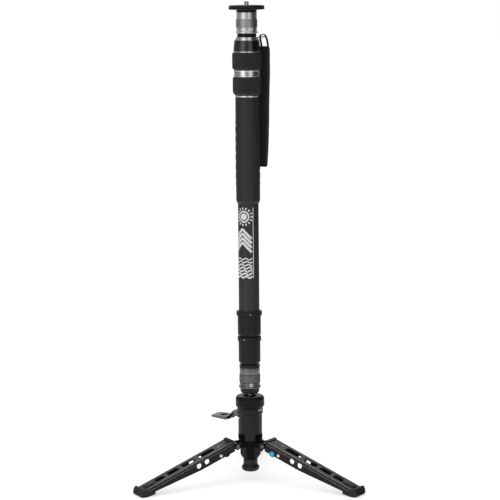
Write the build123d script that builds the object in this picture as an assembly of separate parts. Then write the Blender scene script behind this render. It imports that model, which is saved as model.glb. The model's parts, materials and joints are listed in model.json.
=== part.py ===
from build123d import *
import os
from math import asin, atan2, cos, degrees, hypot, sin

# A camera monopod on a three-legged base, telescoped shut.
# Millimetres, +Z up. The origin lies on the floor under the column's axis.
# Azimuths are degrees from +X, counterclockwise from above.

# Fits
running_gap = 0.06        # radial clearance where a piece turns or slides on another
face_gap = 0.3            # between faces that move past each other
cut_over = 2.0            # how far a cutting body reaches past the material

# Base: rubber foot, post, hub
foot_clearance = 14.0     # rubber foot above the floor
rubber_foot_height = 18.4
rubber_foot_radius = 12.5
rubber_foot_sole_radius = 8.5
rubber_foot_bulge_rise = 5.2
rubber_foot_shoulder_rise = 9.6
foot_edge_share = 0.72
foot_edge_rise_share = 0.36
foot_back_share = 0.12
foot_neck_radius = 10.2
foot_spigot_radius = 6.0
foot_spigot_length = 10.0
foot_post_height = 22.8
foot_post_radius = 14.7
foot_post_flat_radius = 11.6
foot_post_taper_height = 5.8
hub_height = 5.6
hub_radius = 16.9
hub_flat_radius = 14.8

# Hinges of the legs
left_leg_azimuth = 210
right_leg_azimuth = 330
rear_leg_azimuth = 90
hinge_radius = 27.0       # hinge axis from the column's axis
hinge_drop = 0.7          # hinge axis below the hub's underside
hinge_pin_radius = 2.2
hinge_head_radius = 3.1
hinge_head_height = 0.7
ear_end_radius = 4.8
ear_half_height = 3.2
ear_root_radius = 5.0
ear_web_radius = 12.4
ear_inner_half = 8.4
ear_thickness = 3.8
tongue_half = 5.3
tongue_end_radius = 4.6
tongue_low_share = 0.6
tongue_length = 16.4
bush_radius = 4.4

# Legs, measured from the hinge axis outwards and from the top face down
leg_width = 27.0
leg_wall = 2.2
leg_top_above_hinge = 10.2
leg_side_height = 13.9
leg_tip_side_height = 8.4
leg_start = 2.8
leg_side_start = 5.0
leg_side_bottom_start = 6.6
leg_top_edge_depth = 3.0
leg_length = 164.4        # hinge axis to the outermost rubber
leg_taper_share = 0.4
leg_taper_end_back = 27.4
leg_channel_end_back = 12.4
leg_edge_chamfer = 1.6
leg_lip_length = 4.0
leg_lip_height = 1.6
leg_slot_width = 11.6
leg_slot_radius = 3.0
leg_slot_shares = ((0.193, 0.3485), (0.385, 0.522), (0.555, 0.671), (0.701, 0.7955))
leg_recess_share = 0.8025
leg_recess_end_back = 14.4
leg_hole_radius = 3.9
leg_hole_depth = 7.0
leg_hole_shares = (0.317, 0.399)
rivet_place = 29.3
rivet_depth = 9.2
rivet_radius = 1.6
rivet_head_radius = 2.4
rivet_head_height = 0.7
leg_lobe_radius = 4.7

# Rubber shoes
shoe_contact_start_back = 9.8
shoe_contact_end_back = 2.4
shoe_sole_depth = 8.56    # leg's top face to the floor in the middle of the contact
shoe_heel_start_back = 23.4
shoe_heel_lift = 3.4
shoe_toe_lift = 2.6
shoe_flare = 2.6
shoe_flare_start_back = 12.0
shoe_rim_start_back = 9.8
shoe_rim_end_back = 7.0
shoe_corner_radius = 6.5
shoe_plug_start_back = 34.4
shoe_plug_gap = 0.2

# Leg release buttons
button_place = 19.8
button_depth = 11.4
button_radius = 3.5
button_proud = 3.3
button_shaft_radius = 2.6
button_travel = 2.4
button_finger_length = 13.6
button_finger_thickness = 2.0
button_finger_height = 3.6

# Base housing
housing_height = 46.2
housing_radius = 17.2
housing_band_radius = 18.4
housing_band_height = 9.4
housing_bore_radius = 13.0
housing_bore_height = 22.0
leg_notch_half = 9.8
leg_notch_floor_radius = 14.3
leg_notch_height = 8.7
spigot_radius = 16.2
spigot_height = 11.2
race_bore_radius = 13.2

# Ball joint
ball_rise = 4.0           # ball centre above the housing's shoulder
ball_radius = 10.0
ball_stem_radius = 4.3
ball_stem_length = 30.0
ball_throat = 7.2         # liner's top above the ball's centre
ball_liner_drop = 10.5    # liner's underside below the ball's centre
liner_drain_radius = 5.0
collar_foot_radius = 18.3
collar_radius = 20.7
collar_height = 16.9
collar_foot_chamfer = 2.6
collar_top_radius = 18.2
collar_shoulder_height = 3.8
collar_round_share = 0.35
collar_mouth_radius = 10.0

# Foot pedal, measured from the column's axis outwards and from its pivot up
pedal_azimuth = 150
pedal_pivot_radius = 11.5
pedal_pivot_drop = 15.0   # pivot below the housing's shoulder
pedal_pin_radius = 1.6
pedal_pin_half_length = 12.2
pedal_boss_radius = 3.6
pedal_neck_half = 7.0
pedal_neck_start = 15.2
pedal_neck_end = 24.5
pedal_neck_rise = 8.9
pedal_neck_thickness = 6.4
pedal_bend_end = 34.0
pedal_plate_end = 59.5
pedal_plate_half = 12.2
pedal_plate_rise = -0.6
pedal_plate_thickness = 4.6
pedal_tip_thickness = 2.6
pedal_plate_skin = 2.2
pedal_wall = 2.0
pedal_corner_radius = 2.6
pedal_slot_place = 45.5
pedal_slot_width = 4.0
pedal_slot_length = 12.5
pedal_slot_round_share = 0.4
pedal_slot_clearance = 0.4
pedal_pocket_depth = 6.5
pedal_pocket_height = 11.0
pedal_mouth_above = 10.4
pedal_mouth_below = 2.4
pedal_mouth_radius = 14.6
pedal_pocket_start = 5.0

# Bowl under the column
bowl_reach = 17.5         # bowl's underside above the ball's centre
bowl_floor_radius = 11.7
bowl_radius = 13.55
bowl_top_radius = 13.9
bowl_chamfer = 1.9
bowl_band = 2.9
bowl_height = 7.9
bowl_well_radius = 8.0

# Knurled coupling sleeves, one at each end of the column
adapter_flange_height = 2.7
adapter_flange_radius = 16.0
adapter_lower_height = 5.2
adapter_knurl_height = 11.6
adapter_upper_height = 10.5
adapter_radius = 14.7
adapter_knurl_radius = 14.95
adapter_bore_radius = 12.4
adapter_screw_radius = 2.5
adapter_screw_rise = 5.2
adapter_screw_proud = 0.3
upper_adapter_screw_azimuth = -60
lower_adapter_screw_azimuth = -81

# Telescoping column
outer_tube_radius = 14.8
outer_tube_wall = 1.3
middle_tube_radius = 12.9
middle_tube_wall = 1.3
inner_tube_radius = 11.0
inner_tube_wall = 1.3
tube_ring_radius = 14.8
tube_ring_height = 3.2
tube_ring_skirt = 8.0
middle_section_gap = 1.7
outer_section_gap = 0.7
collar_wall_foot = 2.6    # solid lip under each guide bush
bush_height = 11.0
bush_wall = 2.1

middle_collar_height = 39.3
middle_collar_radius = 15.7
middle_collar_lip_height = 6.6
middle_collar_lip_radius = 17.05
middle_collar_foot_radius = 13.4
outer_collar_height = 36.3
outer_collar_radius = 16.65
outer_collar_lip_height = 6.9
outer_collar_lip_radius = 18.4
outer_collar_foot_radius = 15.0
collar_chamfer_height = 3.1
collar_screw_radius = 1.7
collar_screw_proud = 0.25
outer_collar_screw_azimuth = -83
middle_collar_screw_azimuth = -114

bare_tube_length = 154.9  # outer tube seen between its collar and the grip
grip_length = 151.7
grip_radius = 17.1
grip_foot_radius = 15.5
grip_foot_chamfer = 4.0
grip_top_chamfer = 0.8

# Section locks
middle_tube_top_drop = 18.8   # middle tube's end under the outer tube's
inner_tube_top_drop = 31.8    # inner tube's end under the middle tube's
lock_height = 16.0
lock_spigot_length = 12.0
lock_floor = 1.5
lock_cam_height = 12.0
middle_cam_radius = 9.0
inner_cam_radius = 8.0
rod_radius = 3.5
rod_foot_rise = 6.0           # rod's end above the outer tube's foot
rod_fit = 0.1
link_tube_radius = 6.2
link_foot_rise = 15.6         # link tube's end above the middle tube's foot
lock_bore_radius = 6.4

# Head with the twist rings
lower_trim_height = 2.3
lower_trim_radius = 17.4
head_body_radius = 17.5
lower_ring_height = 25.4
lower_ring_radius = 20.45
lower_ring_foot_radius = 18.3
lower_ring_foot_height = 3.6
index_band_height = 9.7
index_band_radius = 19.4
upper_ring_height = 24.1
upper_ring_radius = 20.85
ring_edge_chamfer = 0.9
head_trim_height = 1.4
head_trim_radius = 18.9
head_collar_height = 15.5
head_collar_radius = 19.1
head_collar_top_radius = 17.7
head_collar_band = 5.2
head_cap_height = 2.8
head_cap_radius = 17.3
head_cap_top_radius = 16.3
head_neck_radius = 13.7
head_neck_height = 7.3
head_plug_length = 14.8
head_spigot_length = 14.4
neck_groove_depth = 0.6
neck_groove_height = 0.9
neck_groove_share = (0.3, 0.62)
tube_top_under_index = 2.2   # outer tube's end under the top of the index band
drive_arm_height = 4.0
drive_arm_half = 3.0
drive_arm_reach = 19.0
drive_arm_share = 0.5        # height of the arms in the upper ring
rod_bearing_depth = 8.0
twist_range_angle = 90
twist_spare_angle = 1.5      # left at each end of the windows
half_turn = 180

# Top plate
plate_hub_radius = 14.35
plate_hub_height = 3.0
plate_radius = 25.5
plate_height = 4.5
plate_rim_depth = 0.5
plate_rim_height = 1.0
pad_radius = 24.9
pad_height = 1.3
stud_radius = 3.175
stud_length = 20.5
stud_above_pad = 5.8
stud_chamfer = 0.6
stud_shank_radius = 4.0

# Wrist strap and its lug, measured from the strap's middle along its width
strap_x = 24.2
strap_y = 12.6
strap_turn = -30             # azimuth of the strap's width
strap_width = 17.4
strap_thickness = 4.8
strap_edge_radius = 2.0
strap_length = 172.0
strap_drop = 12.0            # strap's top under the neck's foot
strap_rise_share = (0.0, 0.17, 0.35, 0.58, 0.78, 1.0)
strap_lean = (-5.6, -3.4, -2.2, -1.4, 0.0, 0.0)
lug_thickness = 1.6
lug_gap = 0.1
lug_ring_radius = 15.9
lug_web_half = 4.2
lug_eye_start = -8.6
lug_eye_end = -1.4
lug_eye_half = 4.8
lug_eye_radius = 1.5
lug_slot_start = -6.6
lug_slot_end = -3.6
lug_slot_half = 3.0
lug_slot_radius = 0.8
webbing_thickness = 1.4
webbing_half_width = 2.3
webbing_bend_radius = 1.6
webbing_inner = -5.2
webbing_outer = 5.0
webbing_bow = -6.0
webbing_bow_drop = 6.0       # below the lug's middle
webbing_crown = 4.2          # above the lug's middle
webbing_shoulder = 0.8
webbing_root = 1.8           # straight part over the strap

# Heights, from the floor up
z_foot = foot_clearance
z_post = z_foot + rubber_foot_height
z_hub = z_post + foot_post_height
z_hinge = z_hub - hinge_drop
z_housing = z_hub + hub_height
z_shoulder = z_housing + housing_height
z_ball = z_shoulder + ball_rise
z_collar = z_shoulder + face_gap
z_bowl = z_ball + bowl_reach
adapter_height = adapter_flange_height + adapter_lower_height + adapter_knurl_height + adapter_upper_height
z_lower_adapter = z_bowl + bowl_height
z_tube_ring = z_lower_adapter + adapter_height
z_middle_collar = z_tube_ring + tube_ring_height + middle_section_gap
z_outer_collar = z_middle_collar + middle_collar_height + outer_section_gap
z_bare_tube = z_outer_collar + outer_collar_height
z_grip = z_bare_tube + bare_tube_length
z_head = z_grip + grip_length
z_head_body = z_head + lower_trim_height
z_lower_ring = z_head_body + face_gap
z_index = z_lower_ring + lower_ring_height + face_gap
z_upper_ring = z_index + index_band_height + face_gap
z_head_trim = z_upper_ring + upper_ring_height + face_gap
z_head_collar = z_head_trim + head_trim_height
z_head_cap = z_head_collar + head_collar_height
z_neck = z_head_cap + head_cap_height
z_upper_adapter = z_neck + head_neck_height
z_plate_hub = z_upper_adapter + adapter_height
z_plate = z_plate_hub + plate_hub_height
z_pad = z_plate + plate_height
z_pad_top = z_pad + pad_height

# Places along a leg from its hinge
leg_azimuths = {"left_leg": left_leg_azimuth, "right_leg": right_leg_azimuth, "rear_leg": rear_leg_azimuth}
leg_taper_start = leg_length * leg_taper_share
leg_taper_end = leg_length - leg_taper_end_back
leg_channel_end = leg_length - leg_channel_end_back
leg_recess_end = leg_length - leg_recess_end_back
shoe_contact_start = leg_length - shoe_contact_start_back
shoe_contact_end = leg_length - shoe_contact_end_back
shoe_heel_start = leg_length - shoe_heel_start_back
shoe_flare_start = leg_length - shoe_flare_start_back
shoe_rim_start = leg_length - shoe_rim_start_back
shoe_rim_end = leg_length - shoe_rim_end_back
shoe_plug_start = leg_length - shoe_plug_start_back

# Slope of the legs: the soles of the shoes lie on the floor
contact_run = (shoe_contact_start + shoe_contact_end) / 2


def floor_depth(run, slope):
    """Depth of the floor under a leg's top face, at a distance from the hinge along the leg."""
    return leg_top_above_hinge + (z_hinge - run * sin(slope)) / cos(slope)


sole_above_hinge = leg_top_above_hinge - shoe_sole_depth
leg_slope = asin(z_hinge / hypot(contact_run, sole_above_hinge)) + atan2(sole_above_hinge, contact_run)

middle_tube_bottom = z_middle_collar + collar_wall_foot + bush_height + face_gap
outer_tube_bottom = z_outer_collar + collar_wall_foot + bush_height + face_gap
inner_tube_bottom = z_tube_ring - tube_ring_skirt
outer_tube_top = z_index + index_band_height - tube_top_under_index
middle_tube_top = outer_tube_top - middle_tube_top_drop
inner_tube_top = middle_tube_top - inner_tube_top_drop


def rod(radius, bottom, top):
    """A round bar along the column's axis."""
    return Pos(0, 0, bottom) * Cylinder(radius, top - bottom, align=(Align.CENTER, Align.CENTER, Align.MIN))


def hex_rod(radius, bottom, top):
    """A six-sided bar along the column's axis; the radius is over the corners."""
    return Pos(0, 0, bottom) * extrude(RegularPolygon(radius, 6), top - bottom)


def turned(points, angle=360):
    """A body turned about the column's axis from points of radius and height."""
    outline = Polyline(*[(r, 0, z) for r, z in points], close=True)
    return revolve(make_face(outline), Axis.Z, angle)


def ring(bottom, top, outer, inner):
    """A plain ring on the column's axis."""
    return turned([(inner, bottom), (outer, bottom), (outer, top), (inner, top)])


def radial_pin(azimuth, height, inner, outer, radius):
    """A round pin that lies on a radius of the column."""
    bar = Cylinder(radius, outer - inner, align=(Align.CENTER, Align.CENTER, Align.MIN))
    return Rot(0, 0, azimuth) * Pos(inner, 0, height) * Rot(0, 90, 0) * bar


def block(x0, x1, y0, y1, z0, z1):
    """A box between two corners."""
    low = (Align.MIN, Align.MIN, Align.MIN)
    return Pos(x0, y0, z0) * Box(x1 - x0, y1 - y0, z1 - z0, align=low)


def plate_across(points, half_width):
    """An outline of distance and height, thickened to both sides of its plane."""
    outline = make_face(Polyline(*[(x, 0, z) for x, z in points], close=True))
    return extrude(outline, half_width, dir=(0, 1, 0), both=True)


def bar_across(x, z, radius, y0, y1):
    """A round bar that lies across, along Y."""
    bar = Cylinder(radius, y1 - y0, align=(Align.CENTER, Align.CENTER, Align.MIN))
    return Pos(x, y0, z) * Rot(-90, 0, 0) * bar


def leg_place(azimuth):
    """Puts a leg, modelled with its hinge at the origin and its length along X, at its place."""
    slope = degrees(leg_slope)
    return Rot(0, 0, azimuth) * Pos(hinge_radius, 0, z_hinge) * Rot(0, slope, 0)


# Foot, post and hub

def make_rubber_foot():
    z_bulge = z_foot + rubber_foot_bulge_rise
    z_shoulder_low = z_foot + rubber_foot_shoulder_rise
    side = rubber_foot_radius - rubber_foot_sole_radius
    points = [
        (0, z_foot),
        (rubber_foot_sole_radius, z_foot),
        (rubber_foot_sole_radius + side * foot_edge_share, z_foot + rubber_foot_bulge_rise * foot_edge_rise_share),
        (rubber_foot_radius, z_bulge),
        (rubber_foot_radius - side * foot_back_share, (z_bulge + z_shoulder_low) / 2),
        (foot_neck_radius, z_shoulder_low),
        (foot_neck_radius, z_post),
        (foot_spigot_radius, z_post),
        (foot_spigot_radius, z_post - foot_spigot_length),
        (0, z_post - foot_spigot_length),
    ]
    return turned(points)


def make_foot_post():
    z_taper = z_post + foot_post_taper_height
    body = turned([
        (0, z_post - foot_spigot_length),
        (foot_spigot_radius, z_post - foot_spigot_length),
        (foot_spigot_radius, z_post),
        (foot_neck_radius, z_post),
        (foot_post_radius, z_taper),
        (foot_post_radius, z_hub),
        (0, z_hub),
    ])
    for azimuth in leg_azimuths.values():
        flat = block(foot_post_flat_radius, foot_post_radius + cut_over,
                     -foot_post_radius, foot_post_radius, z_post - cut_over, z_hub + cut_over)
        body -= Rot(0, 0, azimuth) * flat
    return body


def make_ear(side):
    """One hinge ear of the hub, on the left or right of its leg."""
    low = z_hinge - ear_half_height
    high = z_hinge + ear_half_height
    points = [(ear_root_radius, z_hub), (ear_root_radius, high), (hinge_radius, high),
              (hinge_radius, low), (ear_web_radius, low), (ear_web_radius, z_hub)]
    outline = make_face(Polyline(*[(x, 0, z) for x, z in points], close=True))
    web = Pos(0, ear_inner_half, 0) * extrude(outline, ear_thickness, dir=(0, 1, 0))
    end = bar_across(hinge_radius, z_hinge, ear_end_radius, ear_inner_half, ear_inner_half + ear_thickness)
    bore = bar_across(hinge_radius, z_hinge, hinge_pin_radius, ear_inner_half - cut_over,
                      ear_inner_half + ear_thickness + cut_over)
    ear = web + end - bore
    return ear if side > 0 else mirror(ear, Plane.XZ)


def make_leg_hub():
    body = rod(hub_radius, z_hub, z_housing)
    for azimuth in leg_azimuths.values():
        flat = block(hub_flat_radius, hub_radius + cut_over, -hub_radius, hub_radius,
                     z_hub - cut_over, z_housing + cut_over)
        body -= Rot(0, 0, azimuth) * flat
    for azimuth in leg_azimuths.values():
        body += Rot(0, 0, azimuth) * make_ear(1)
        body += Rot(0, 0, azimuth) * make_ear(-1)
    return body


def make_hinge_pins():
    """The three hinge pins, each with two flat heads outside the ears."""
    face = ear_inner_half + ear_thickness
    pins = []
    for azimuth in leg_azimuths.values():
        pin = bar_across(hinge_radius, z_hinge, hinge_pin_radius, -face, face)
        pin += bar_across(hinge_radius, z_hinge, hinge_head_radius, face, face + hinge_head_height)
        pin += bar_across(hinge_radius, z_hinge, hinge_head_radius, -face - hinge_head_height, -face)
        pins.append(Rot(0, 0, azimuth) * pin)
    return Compound(children=[p.solid() for p in pins])


def make_hinge_bushes():
    """Brass washers on the pins, two for each leg, between its tongue and the ears."""
    start = tongue_half + running_gap
    washers = []
    for azimuth in leg_azimuths.values():
        washer = bar_across(hinge_radius, z_hinge, bush_radius, start, ear_inner_half)
        washer -= bar_across(hinge_radius, z_hinge, hinge_pin_radius, start - cut_over,
                             ear_inner_half + cut_over)
        washers.append(Rot(0, 0, azimuth) * washer)
        washers.append(Rot(0, 0, azimuth) * mirror(washer, Plane.XZ))
    return Compound(children=[w.solid() for w in washers])


# Legs, with X along the leg from the hinge and Z square to the leg's top face

def rounded_cut(start, end, half_width, radius, top, depth):
    """A slot with rounded corners, cut down from the top."""
    outline = RectangleRounded(end - start, 2 * half_width, radius)
    return Pos((start + end) / 2, 0, top - depth) * extrude(outline, depth + cut_over)


def make_leg():
    top = leg_top_above_hinge
    half = leg_width / 2
    side = plate_across([
        (leg_start, top),
        (leg_channel_end, top),
        (leg_channel_end, top - leg_tip_side_height),
        (leg_taper_end, top - leg_tip_side_height),
        (leg_taper_start, top - leg_side_height),
        (leg_side_bottom_start, top - leg_side_height),
        (leg_side_start, top - leg_top_edge_depth),
        (leg_start, top - leg_top_edge_depth),
    ], half)
    long_edges = side.edges().filter_by(Axis.X).group_by(Axis.Z)[-1]
    side = chamfer(long_edges, leg_edge_chamfer)
    side += plate_across([(leg_start, top - leg_wall), (leg_start, top + leg_lip_height),
                          (leg_start + leg_lip_length, top + leg_lip_height),
                          (leg_start + leg_lip_length, top - leg_wall)], half - leg_edge_chamfer)
    side += bar_across(button_place, top - button_depth, leg_lobe_radius, -half, half)
    inner = half - leg_wall
    side -= block(leg_start - cut_over, leg_channel_end + cut_over, -inner, inner,
                  top - leg_side_height - leg_lobe_radius - cut_over, top - leg_wall)
    cuts = [(start * leg_length, end * leg_length) for start, end in leg_slot_shares]
    cuts.append((leg_recess_share * leg_length, leg_recess_end))
    for start, end in cuts:
        side -= rounded_cut(start, end, leg_slot_width / 2, leg_slot_radius, top, leg_wall + cut_over)
    for share in leg_hole_shares:
        side -= bar_across(share * leg_length, top - leg_hole_depth, leg_hole_radius,
                           -half - cut_over, half + cut_over)
    tongue = block(leg_side_start, tongue_length, -tongue_half, tongue_half,
                   -tongue_end_radius * tongue_low_share, top - leg_wall)
    tongue += block(0, tongue_length, -tongue_half, tongue_half, -tongue_end_radius * tongue_low_share, tongue_end_radius)
    tongue += bar_across(0, 0, tongue_end_radius, -tongue_half, tongue_half)
    tongue -= bar_across(0, 0, hinge_pin_radius + running_gap, -half, half)
    leg = side + tongue
    leg -= bar_across(rivet_place, top - rivet_depth, rivet_radius, -half - cut_over, half + cut_over)
    leg -= bar_across(button_place, top - button_depth, button_radius + running_gap, -half - cut_over, 0)
    leg -= bar_across(button_place, top - button_depth, button_shaft_radius + running_gap, 0, half + cut_over)
    return leg


def make_rivet():
    top = leg_top_above_hinge
    half = leg_width / 2
    z = top - rivet_depth
    rivet = bar_across(rivet_place, z, rivet_radius, -half, half)
    rivet += bar_across(rivet_place, z, rivet_head_radius, half, half + rivet_head_height)
    rivet += bar_across(rivet_place, z, rivet_head_radius, -half - rivet_head_height, -half)
    return rivet


def make_button():
    """Round button head, its shaft through the leg and the latch finger inside it."""
    top = leg_top_above_hinge
    half = leg_width / 2
    inner = half - leg_wall
    z = top - button_depth
    head = bar_across(button_place, z, button_radius, -half - button_proud, -half + leg_wall / 2)
    shaft = bar_across(button_place, z, button_shaft_radius, -half, half - leg_wall / 2)
    finger_face = -inner + face_gap
    finger = block(button_place - button_finger_length, button_place,
                   finger_face, finger_face + button_finger_thickness,
                   z - button_finger_height / 2, z + button_finger_height / 2)
    return head + shaft + finger


def make_shoe():
    top = leg_top_above_hinge
    half = leg_width / 2
    inner = half - leg_wall

    def floor_z(run):
        return top - floor_depth(run, leg_slope)

    wall_foot = top - leg_tip_side_height
    cap_start = leg_channel_end
    outline = [
        (shoe_heel_start, wall_foot),
        (shoe_heel_start, floor_z(shoe_heel_start) + shoe_heel_lift),
        (shoe_contact_start, floor_z(shoe_contact_start)),
        (shoe_contact_end, floor_z(shoe_contact_end)),
        (leg_length, floor_z(leg_length) + shoe_toe_lift),
        (shoe_rim_end, top + shoe_flare),
        (shoe_rim_start, top + shoe_flare),
        (shoe_flare_start, top),
        (cap_start, top),
        (cap_start, wall_foot),
    ]
    cap = plate_across(outline, half)
    plan = Pos(leg_length / 2, 0, 0) * extrude(
        RectangleRounded(leg_length, leg_width, shoe_corner_radius), leg_width, both=True)
    cap = cap & plan
    plug = block(shoe_plug_start, cap_start + cut_over, -inner + shoe_plug_gap, inner - shoe_plug_gap,
                 wall_foot, top - leg_wall - shoe_plug_gap)
    heel = block(shoe_heel_start, shoe_contact_start, -inner + shoe_plug_gap, inner - shoe_plug_gap,
                 wall_foot - shoe_plug_gap, wall_foot + cut_over)
    return cap + plug + heel


def make_legs():
    parts = {}
    leg = make_leg()
    shoe = make_shoe()
    rivet = make_rivet()
    button = make_button()
    for name, azimuth in leg_azimuths.items():
        place = leg_place(azimuth)
        parts[name] = place * leg
        parts[name + "_shoe"] = place * shoe
        parts[name + "_rivet"] = place * rivet
        parts[name + "_button"] = place * button
    return parts


# Base housing, pedal and ball joint

def make_housing():
    z_band = z_shoulder - housing_band_height
    z_spigot = z_shoulder + spigot_height
    z_race_floor = z_ball - ball_liner_drop - face_gap
    body = turned([
        (0, z_housing), (housing_radius, z_housing), (housing_radius, z_band),
        (housing_band_radius, z_band + (housing_band_radius - housing_radius)),
        (housing_band_radius, z_shoulder), (spigot_radius, z_shoulder),
        (spigot_radius, z_spigot), (0, z_spigot),
    ])
    body -= rod(race_bore_radius, z_race_floor, z_spigot + cut_over)
    body -= rod(housing_bore_radius, z_housing - cut_over, z_housing + housing_bore_height)
    for azimuth in leg_azimuths.values():
        notch = block(leg_notch_floor_radius, housing_radius + cut_over, -leg_notch_half, leg_notch_half,
                      z_housing - cut_over, z_housing + leg_notch_height)
        body -= Rot(0, 0, azimuth) * notch
    z_pivot = z_shoulder - pedal_pivot_drop
    half = pedal_neck_half + pedal_slot_clearance
    pocket = block(pedal_pocket_start, housing_band_radius + cut_over, -half, half,
                   z_pivot - pedal_pocket_depth, z_pivot - pedal_pocket_depth + pedal_pocket_height)
    mouth = block(pedal_mouth_radius, housing_band_radius + cut_over, -half, half,
                  z_pivot - pedal_mouth_below, z_pivot + pedal_mouth_above)
    pin_hole = bar_across(pedal_pivot_radius, z_pivot, pedal_pin_radius, -housing_radius, housing_radius)
    return body - Rot(0, 0, pedal_azimuth) * (pocket + mouth + pin_hole)


def make_pedal():
    z_pivot = z_shoulder - pedal_pivot_drop
    neck_top = z_pivot + pedal_neck_rise
    plate_top = z_pivot + pedal_plate_rise
    plate_low = plate_top - pedal_plate_thickness
    boss = bar_across(pedal_pivot_radius, z_pivot, pedal_boss_radius, -pedal_neck_half, pedal_neck_half)
    neck = plate_across([
        (pedal_pivot_radius, z_pivot - pedal_boss_radius),
        (pedal_pivot_radius, z_pivot + pedal_boss_radius),
        (pedal_neck_start - pedal_slot_clearance, z_pivot + pedal_boss_radius + pedal_slot_clearance),
        (pedal_neck_start, neck_top),
        (pedal_neck_end, neck_top),
        (pedal_bend_end, plate_top),
        (pedal_bend_end + pedal_wall, plate_top),
        (pedal_bend_end + pedal_wall, plate_low),
        (pedal_bend_end - pedal_wall, plate_low),
        (pedal_neck_end - pedal_wall, neck_top - pedal_neck_thickness),
        (pedal_neck_start, z_pivot - pedal_wall / 2),
    ], pedal_neck_half)
    hollow = plate_across([
        (pedal_neck_end - pedal_wall, neck_top - pedal_neck_thickness - cut_over),
        (pedal_neck_end - pedal_wall / 2, neck_top - pedal_wall),
        (pedal_bend_end - pedal_wall / 2, plate_top - pedal_wall),
        (pedal_bend_end - pedal_wall / 2, plate_low - cut_over),
    ], pedal_neck_half - pedal_wall)
    plate_run = pedal_plate_end - pedal_bend_end
    plate_outline = RectangleRounded(plate_run, 2 * pedal_plate_half, pedal_corner_radius)
    plate_mid = (pedal_plate_end + pedal_bend_end) / 2
    plate = Pos(plate_mid, 0, plate_low) * extrude(plate_outline, pedal_plate_thickness)
    plate &= plate_across([
        (pedal_bend_end, plate_low),
        (pedal_bend_end, plate_top),
        (pedal_plate_end, plate_top),
        (pedal_plate_end, plate_top - pedal_tip_thickness),
    ], pedal_plate_half)
    under = RectangleRounded(plate_run - 2 * pedal_wall, 2 * (pedal_plate_half - pedal_wall),
                             pedal_corner_radius - pedal_wall / 2)
    plate -= Pos(plate_mid, 0, plate_low - cut_over) * extrude(
        under, cut_over + pedal_plate_thickness - pedal_plate_skin)
    slot = RectangleRounded(pedal_slot_width, pedal_slot_length, pedal_slot_width * pedal_slot_round_share)
    plate -= Pos(pedal_slot_place, 0, plate_low) * extrude(slot, pedal_plate_thickness + cut_over)
    pedal = boss + (neck - hollow) + plate
    pedal -= bar_across(pedal_pivot_radius, z_pivot, pedal_pin_radius + running_gap,
                        -pedal_neck_half - cut_over, pedal_neck_half + cut_over)
    return Rot(0, 0, pedal_azimuth) * pedal


def make_pedal_pin():
    z_pivot = z_shoulder - pedal_pivot_drop
    pin = bar_across(pedal_pivot_radius, z_pivot, pedal_pin_radius,
                     -pedal_pin_half_length, pedal_pin_half_length)
    return Rot(0, 0, pedal_azimuth) * pin


def make_ball_liner():
    bottom = z_ball - ball_liner_drop
    body = rod(race_bore_radius - running_gap, bottom, z_ball + ball_throat)
    body -= rod(liner_drain_radius, bottom - cut_over, z_ball)
    return body - Pos(0, 0, z_ball) * Sphere(ball_radius + running_gap)


def make_ball_stem():
    ball = Pos(0, 0, z_ball) * Sphere(ball_radius)
    return ball + rod(ball_stem_radius, z_ball, z_ball + ball_stem_length)


def make_friction_collar():
    z_top = z_collar + collar_height
    z_lip = z_ball + ball_throat + face_gap
    return turned([
        (spigot_radius + running_gap, z_collar),
        (collar_foot_radius, z_collar),
        (collar_radius, z_collar + collar_foot_chamfer),
        (collar_radius, z_top - collar_shoulder_height),
        (collar_radius - (collar_radius - collar_top_radius) * collar_round_share,
         z_top - collar_shoulder_height * collar_round_share),
        (collar_top_radius, z_top),
        (collar_mouth_radius, z_top),
        (collar_mouth_radius, z_lip),
        (spigot_radius + running_gap, z_lip),
    ])


# Column ends

def make_column_bowl():
    z_spigot = z_tube_ring - tube_ring_skirt
    spigot = adapter_bore_radius - running_gap
    z_stem = z_ball + ball_stem_length
    return turned([
        (ball_stem_radius, z_bowl),
        (bowl_floor_radius, z_bowl),
        (bowl_radius, z_bowl + bowl_chamfer),
        (bowl_radius, z_bowl + bowl_chamfer + bowl_band),
        (bowl_top_radius, z_bowl + bowl_chamfer + bowl_band + bowl_chamfer / 2),
        (bowl_top_radius, z_lower_adapter - face_gap),
        (spigot, z_lower_adapter - face_gap),
        (spigot, z_spigot),
        (bowl_well_radius, z_spigot),
        (bowl_well_radius, z_stem),
        (ball_stem_radius, z_stem),
    ])


def make_adapter(bottom, azimuth):
    """A knurled coupling sleeve with a flange at its foot."""
    z1 = bottom + adapter_flange_height
    z2 = z1 + adapter_lower_height
    z3 = z2 + adapter_knurl_height
    step = adapter_knurl_radius - adapter_radius
    body = turned([
        (adapter_bore_radius, bottom),
        (adapter_flange_radius - step, bottom),
        (adapter_flange_radius, bottom + step),
        (adapter_flange_radius, z1 - step),
        (adapter_flange_radius - step, z1),
        (adapter_radius, z1),
        (adapter_radius, z2),
        (adapter_knurl_radius, z2),
        (adapter_knurl_radius, z3),
        (adapter_radius, z3),
        (adapter_radius, bottom + adapter_height - face_gap),
        (adapter_bore_radius, bottom + adapter_height - face_gap),
    ])
    hole = radial_pin(azimuth, bottom + adapter_screw_rise, adapter_bore_radius - cut_over,
                      adapter_flange_radius + cut_over, adapter_screw_radius)
    return body - hole


def make_adapter_screw(bottom, azimuth):
    return radial_pin(azimuth, bottom + adapter_screw_rise, adapter_bore_radius + running_gap,
                      adapter_radius + adapter_screw_proud, adapter_screw_radius)


def make_tube_ring():
    skirt = adapter_bore_radius - running_gap
    return turned([
        (inner_tube_radius, z_tube_ring - tube_ring_skirt),
        (skirt, z_tube_ring - tube_ring_skirt),
        (skirt, z_tube_ring),
        (tube_ring_radius, z_tube_ring),
        (tube_ring_radius, z_tube_ring + tube_ring_height),
        (inner_tube_radius, z_tube_ring + tube_ring_height),
    ])


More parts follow.
